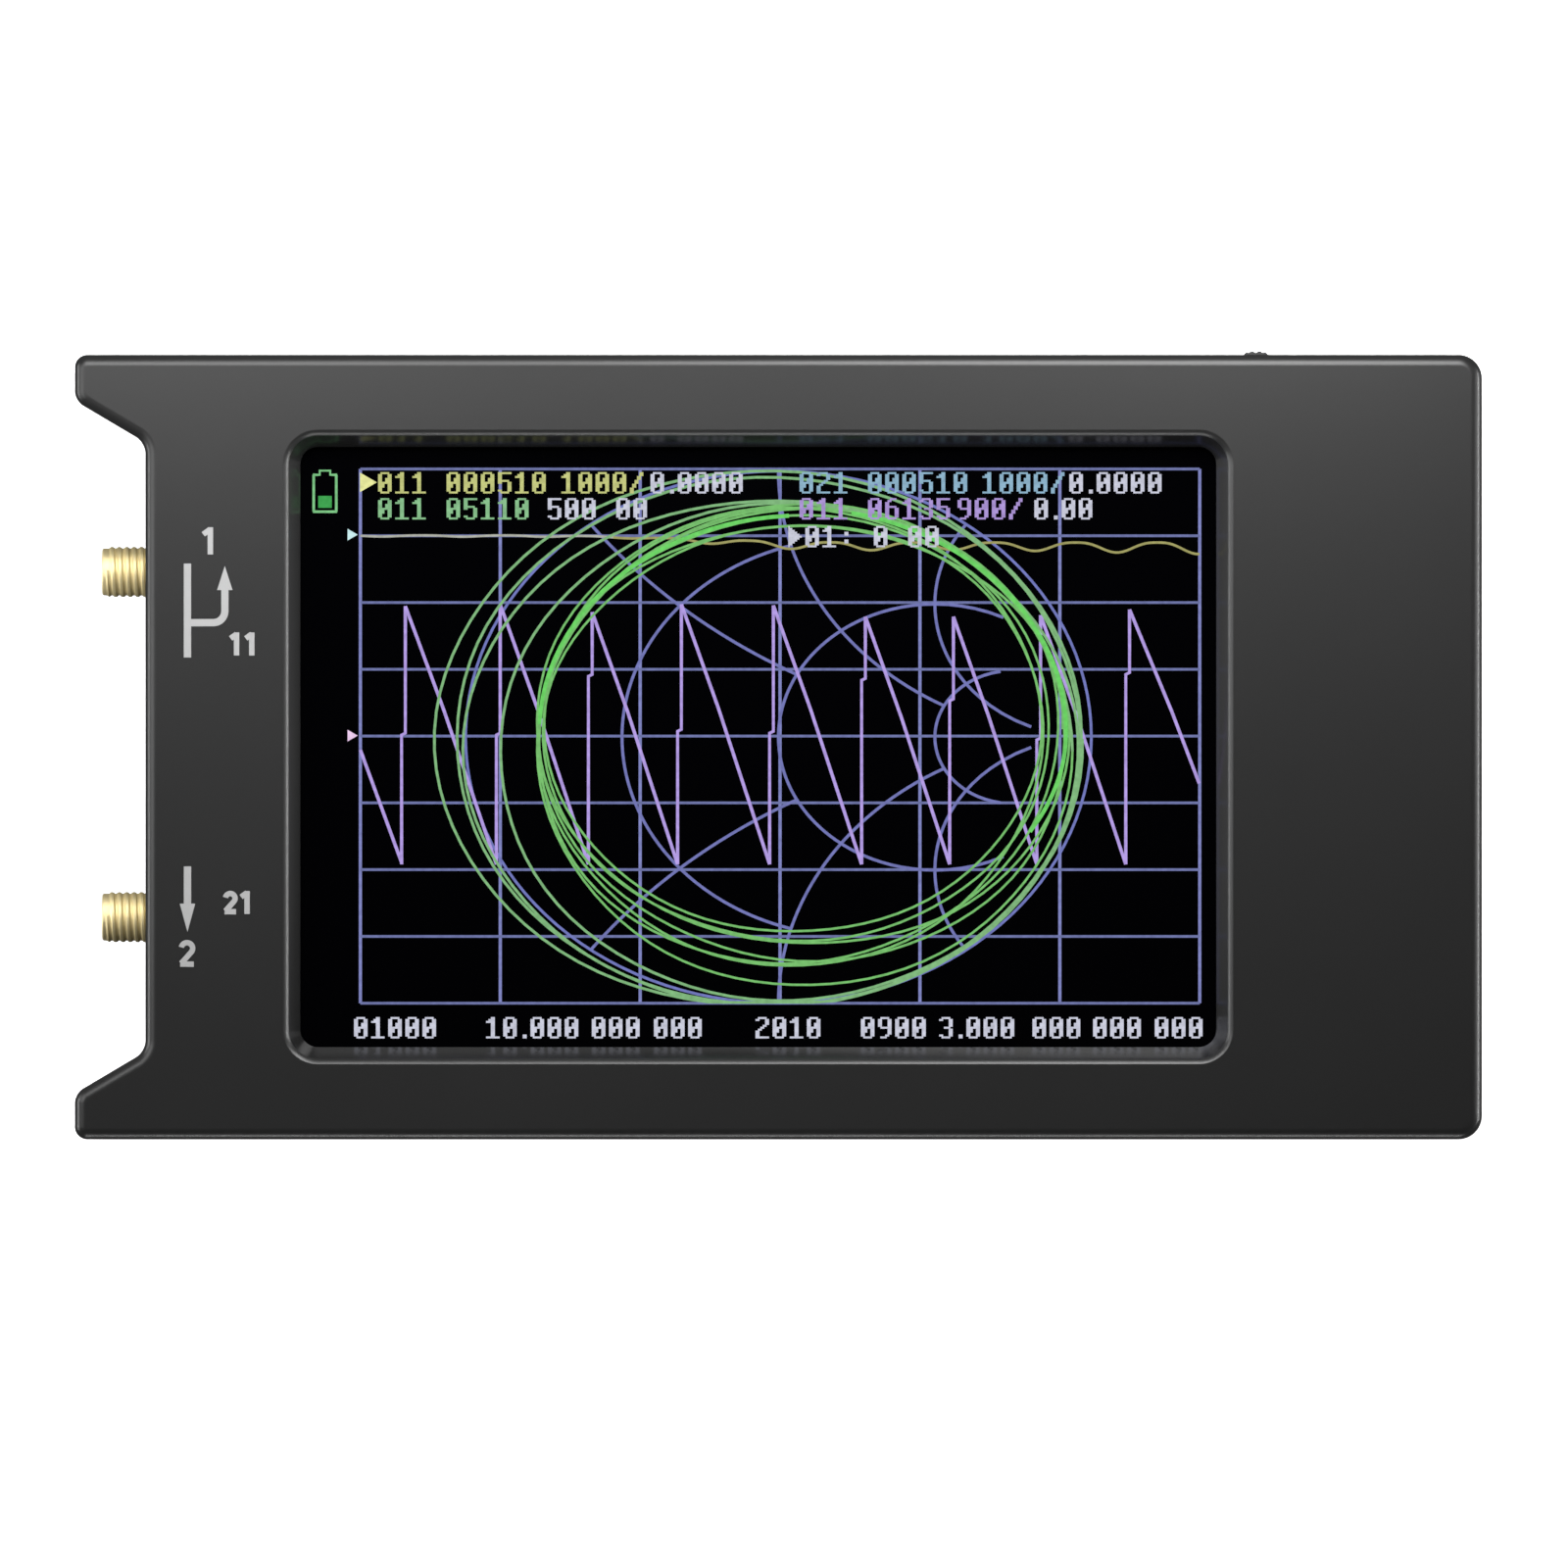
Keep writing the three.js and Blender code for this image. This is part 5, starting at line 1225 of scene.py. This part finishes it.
class ANALYZER_OT_charging_socket(bpy.types.Operator):
    """Charging socket: a drawn shell and a tongue with gold contacts"""

    bl_idname = "analyzer.charging_socket"
    bl_label = "Charging socket"

    def execute(self, context):
        x0, x1, z0, z1, radius = USB
        corners = rectangle(x0, z0, x1, z1, radius)
        # The shell is drawn upwards from its mouth, then laid into the edge
        stand = Matrix.Translation((0, 37.0 * MM, 0)) @ ONTO_SIDE
        shell = stack(corners, 0, [(0.0, -0.06), (0.06, 0.0), (7.3, 0.0)], 10)
        mouth = stack(corners, 0.3, [(-1.0, 0.1), (0.0, 0.1), (0.12, 0.0), (7.0, 0.0)], 10)
        mesh = carve(shell, [mouth])
        mesh.transform(stand)
        name, solid = "usb_socket_drawn_shell", "usb_socket_shell"
        finish_piece(name, mesh, "steel", replaces=(solid,))
        middle, half, low, high = (x0 + x1) / 2, 3.34, 7.22, 7.92
        base = stack(corners, 0.33, [(5.0, 0.0), (6.96, 0.0)], 10)
        base.transform(stand)
        tongue = box((middle - half, 31.5, low), (middle + half, 36.0, high), 0.12, 2)
        mesh = carve(base, [], [tongue])
        name, solid = "usb_socket_moulded_tongue", "usb_socket_tongue"
        finish_piece(name, mesh, "package", replaces=(solid,))
        # Twelve contacts lie on either side of the tongue, half a millimetre apart
        pads = bmesh.new()
        for side in (low - 0.02, high):
            for k in range(12):
                x = middle + (k - 5.5) * 0.5
                box((x - 0.13, 32.4, side), (x + 0.13, 35.6, side + 0.02), bm=pads)
        finish_piece("usb_socket_contacts", to_mesh(pads), "gold")
        return {"FINISHED"}


class ANALYZER_OT_power_switch(bpy.types.Operator):
    """Power switch: a folded case and a ribbed knob that slides"""

    bl_idname = "analyzer.power_switch"
    bl_label = "Power switch"

    def execute(self, context):
        low, high = (Vector(c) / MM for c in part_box("power_switch_slider"))
        middle = (low.x + high.x) / 2
        slide = box(low, (high.x, 33.99, high.z), 0.1, 2)
        knob = [box((middle - 1.0, 33.6, 6.75), (middle + 1.0, 36.75, 8.25), 0.08, 2)]
        for k in range(4):
            x = middle - 0.78 + 0.52 * k
            knob.append(box((x - 0.15, 36.6, 6.77), (x + 0.15, 37.1, 8.23), 0.06, 2))
        mesh = carve(slide, [], knob)
        name, solid = "power_switch_ribbed_knob", "power_switch_slider"
        finish_piece(name, mesh, "nylon", "power_knob", (solid,))
        dress("tin", "power_switch_body")
        return {"FINISHED"}


class ANALYZER_OT_jog_switch(bpy.types.Operator):
    """Jog switch: a grooved lever on the pin of a sliding carriage"""

    bl_idname = "analyzer.jog_switch"
    bl_label = "Jog switch"

    def execute(self, context):
        x, pivot, z0, z1 = JOG_X, 31.6, 6.8, 8.2
        tip, head_half, arm_half = 38.0, 1.25, 0.75
        levels = [(z0, -0.1), (z0 + 0.1, 0), (z1 - 0.1, 0), (z1, -0.1)]
        head = stack(rectangle(x - head_half, 35.8, x + head_half, tip, 0.62), 0, levels, 8)
        arm_low, arm_high = (x - arm_half, pivot + 0.5, z0 + 0.02), (x + arm_half, 36.2, z1 - 0.02)
        hub = rod(x, pivot, 1.2, z0 + 0.01, z1 - 0.01, 40)
        # Three grooves across the tip, and the hole for the carriage's pin
        cuts = [rod(x + dx, tip + 0.1, 0.22, z0 - 1, z1 + 1, 20) for dx in (-0.72, 0.0, 0.72)]
        cuts.append(rod(x, pivot, 0.51, z0 - 1, z1 + 1, 32))
        mesh = carve(head, cuts, [box(arm_low, arm_high, 0.12, 2), hub])
        name, solid = "jog_switch_grooved_lever", "jog_switch_lever"
        finish_piece(name, mesh, "nylon", "jog_lever", (solid,))
        dress("package", "jog_switch_body")
        dress("tin", "jog_switch_carriage")
        return {"FINISHED"}


class ANALYZER_OT_board(bpy.types.Operator):
    """Main board and the parts on it"""

    bl_idname = "analyzer.board"
    bl_label = "Board"

    def execute(self, context):
        dress("board", "main_board")
        dress("tin", "shield_can_1", "shield_can_2", "shield_can_3")
        dress("tin", "reference_oscillator", "processor_crystal")
        dress("package", "mixer_chip_1", "mixer_chip_2", "mixer_chip_3", "clock_chip", "codec_chip")
        dress("package", "processor", "charger_chip")
        dress("ferrite", "charger_inductor")
        dress("steel", "memory_card_socket")
        dress("lamp", "indicator_lamp_1", "indicator_lamp_2")
        return {"FINISHED"}


class ANALYZER_OT_battery(bpy.types.Operator):
    """Pouch cell, its tape, guard board, plug and leads"""

    bl_idname = "analyzer.battery"
    bl_label = "Battery"

    def execute(self, context):
        dress("pouch", "battery_cell")
        dress("foam", "battery_tape")
        dress("tape", "battery_guard_board")
        dress("white", "battery_header", "battery_plug")
        dress("red", "battery_lead_positive")
        dress("black", "battery_lead_negative")
        return {"FINISHED"}


class ANALYZER_OT_stage(bpy.types.Operator):
    """Pale floor, soft lights and the camera straight above the screen"""

    bl_idname = "analyzer.stage"
    bl_label = "Stage"

    def execute(self, context):
        values = context.scene.analyzer_stage
        scene = context.scene
        scene.view_settings.view_transform = "Standard"
        scene.view_settings.look = "None"
        floor_shape = bmesh.new()
        bmesh.ops.create_grid(floor_shape, x_segments=1, y_segments=1, size=6.0)
        bmesh.ops.translate(floor_shape, verts=floor_shape.verts, vec=(0, 0, -0.2 * MM))
        mesh = bpy.data.meshes.new("floor")
        floor_shape.to_mesh(mesh)
        floor_shape.free()
        floor = bpy.data.objects.new("floor", mesh)
        scene.collection.objects.link(floor)
        # Matte white paint that glows as an evenly lit table does, and throws no light upwards
        paint, _, _ = new_material(
            "matte_white_paint",
            base_color=linear("#f4f4f4"),
            roughness=0.9,
            emission_color=(1, 1, 1, 1),
            emission_strength=1.0,
        )
        mesh.materials.append(paint)
        floor.visible_diffuse = False
        floor.visible_glossy = False
        world = bpy.data.worlds.new("studio")
        scene.world = world
        world.use_nodes = True
        tree = world.node_tree
        tree.nodes.clear()
        # The room is dark above the analyzer, so its glass stays black, and pale round about
        way = add(tree, "ShaderNodeTexCoord").outputs["Generated"]
        height = add(tree, "ShaderNodeSeparateXYZ", {0: way}).outputs[2]
        fade = {"from_min": 0.2, "from_max": 0.8, "to_min": 0.1, "to_max": 0.004}
        shade = add(tree, "ShaderNodeMapRange", {0: height}, **fade)
        sky = add(tree, "ShaderNodeBackground", {"Strength": shade.outputs[0]}, color=(1, 1, 1, 1))
        add(tree, "ShaderNodeOutputWorld", {"Surface": sky.outputs[0]})
        for name, place, size, power in LIGHTS:
            self.light(name, place, size, power * values.key_power)
        camera = bpy.data.objects.new("camera", bpy.data.cameras.new("camera"))
        scene.collection.objects.link(camera)
        camera.data.lens = values.lens
        camera.data.sensor_width = SENSOR
        camera.data.clip_end = 50.0
        distance = values.framed_width / SENSOR * values.lens
        camera.location = (0.54 * MM, -3.53 * MM, THICKNESS * MM + distance)
        scene.camera = camera
        return {"FINISHED"}

    def light(self, name, place, size, power):
        """A soft light that faces the analyzer."""
        data = bpy.data.lights.new(name, "AREA")
        data.shape = "DISK" if size is DISC else "RECTANGLE"
        for key, value in zip(("size", "size_y"), size):
            setattr(data, key, value)
        data.energy = power
        lamp = bpy.data.objects.new(name, data)
        lamp.location = place
        lamp.rotation_euler = (-Vector(place)).to_track_quat("-Z", "Y").to_euler()
        lamp.visible_camera = False
        bpy.context.scene.collection.objects.link(lamp)


OPERATORS = (
    ANALYZER_OT_front_cover,
    ANALYZER_OT_rear_cover,
    ANALYZER_OT_screws,
    ANALYZER_OT_face_print,
    ANALYZER_OT_touch_screen,
    ANALYZER_OT_ports,
    ANALYZER_OT_charging_socket,
    ANALYZER_OT_power_switch,
    ANALYZER_OT_jog_switch,
    ANALYZER_OT_board,
    ANALYZER_OT_battery,
    ANALYZER_OT_stage,
)


class ANALYZER_PT_panel(bpy.types.Panel):
    bl_idname = "ANALYZER_PT_panel"
    bl_label = "Antenna Analyzer"
    bl_space_type = "VIEW_3D"
    bl_region_type = "UI"
    bl_category = "Analyzer"

    def draw(self, context):
        scene = context.scene
        for name in GROUPS:
            group = getattr(scene, name)
            column = self.layout.column(align=True)
            for key in group.__annotations__:
                column.prop(group, key)
        for operator in OPERATORS:
            self.layout.operator(operator.bl_idname)


GROUPS = {
    "analyzer_housing": HousingValues,
    "analyzer_ports": PortValues,
    "analyzer_display": DisplayValues,
    "analyzer_stage": StageValues,
}
CLASSES = (*GROUPS.values(), *OPERATORS, ANALYZER_PT_panel)


def register():
    for each in CLASSES:
        bpy.utils.register_class(each)
    for name, group in GROUPS.items():
        setattr(bpy.types.Scene, name, bpy.props.PointerProperty(type=group))


def unregister():
    for name in GROUPS:
        delattr(bpy.types.Scene, name)
    for each in reversed(CLASSES):
        bpy.utils.unregister_class(each)


def main():
    register()
    make_materials()
    for operator in OPERATORS:
        section, name = operator.bl_idname.split(".")
        getattr(getattr(bpy.ops, section), name)()


if __name__ == "__main__":
    main()
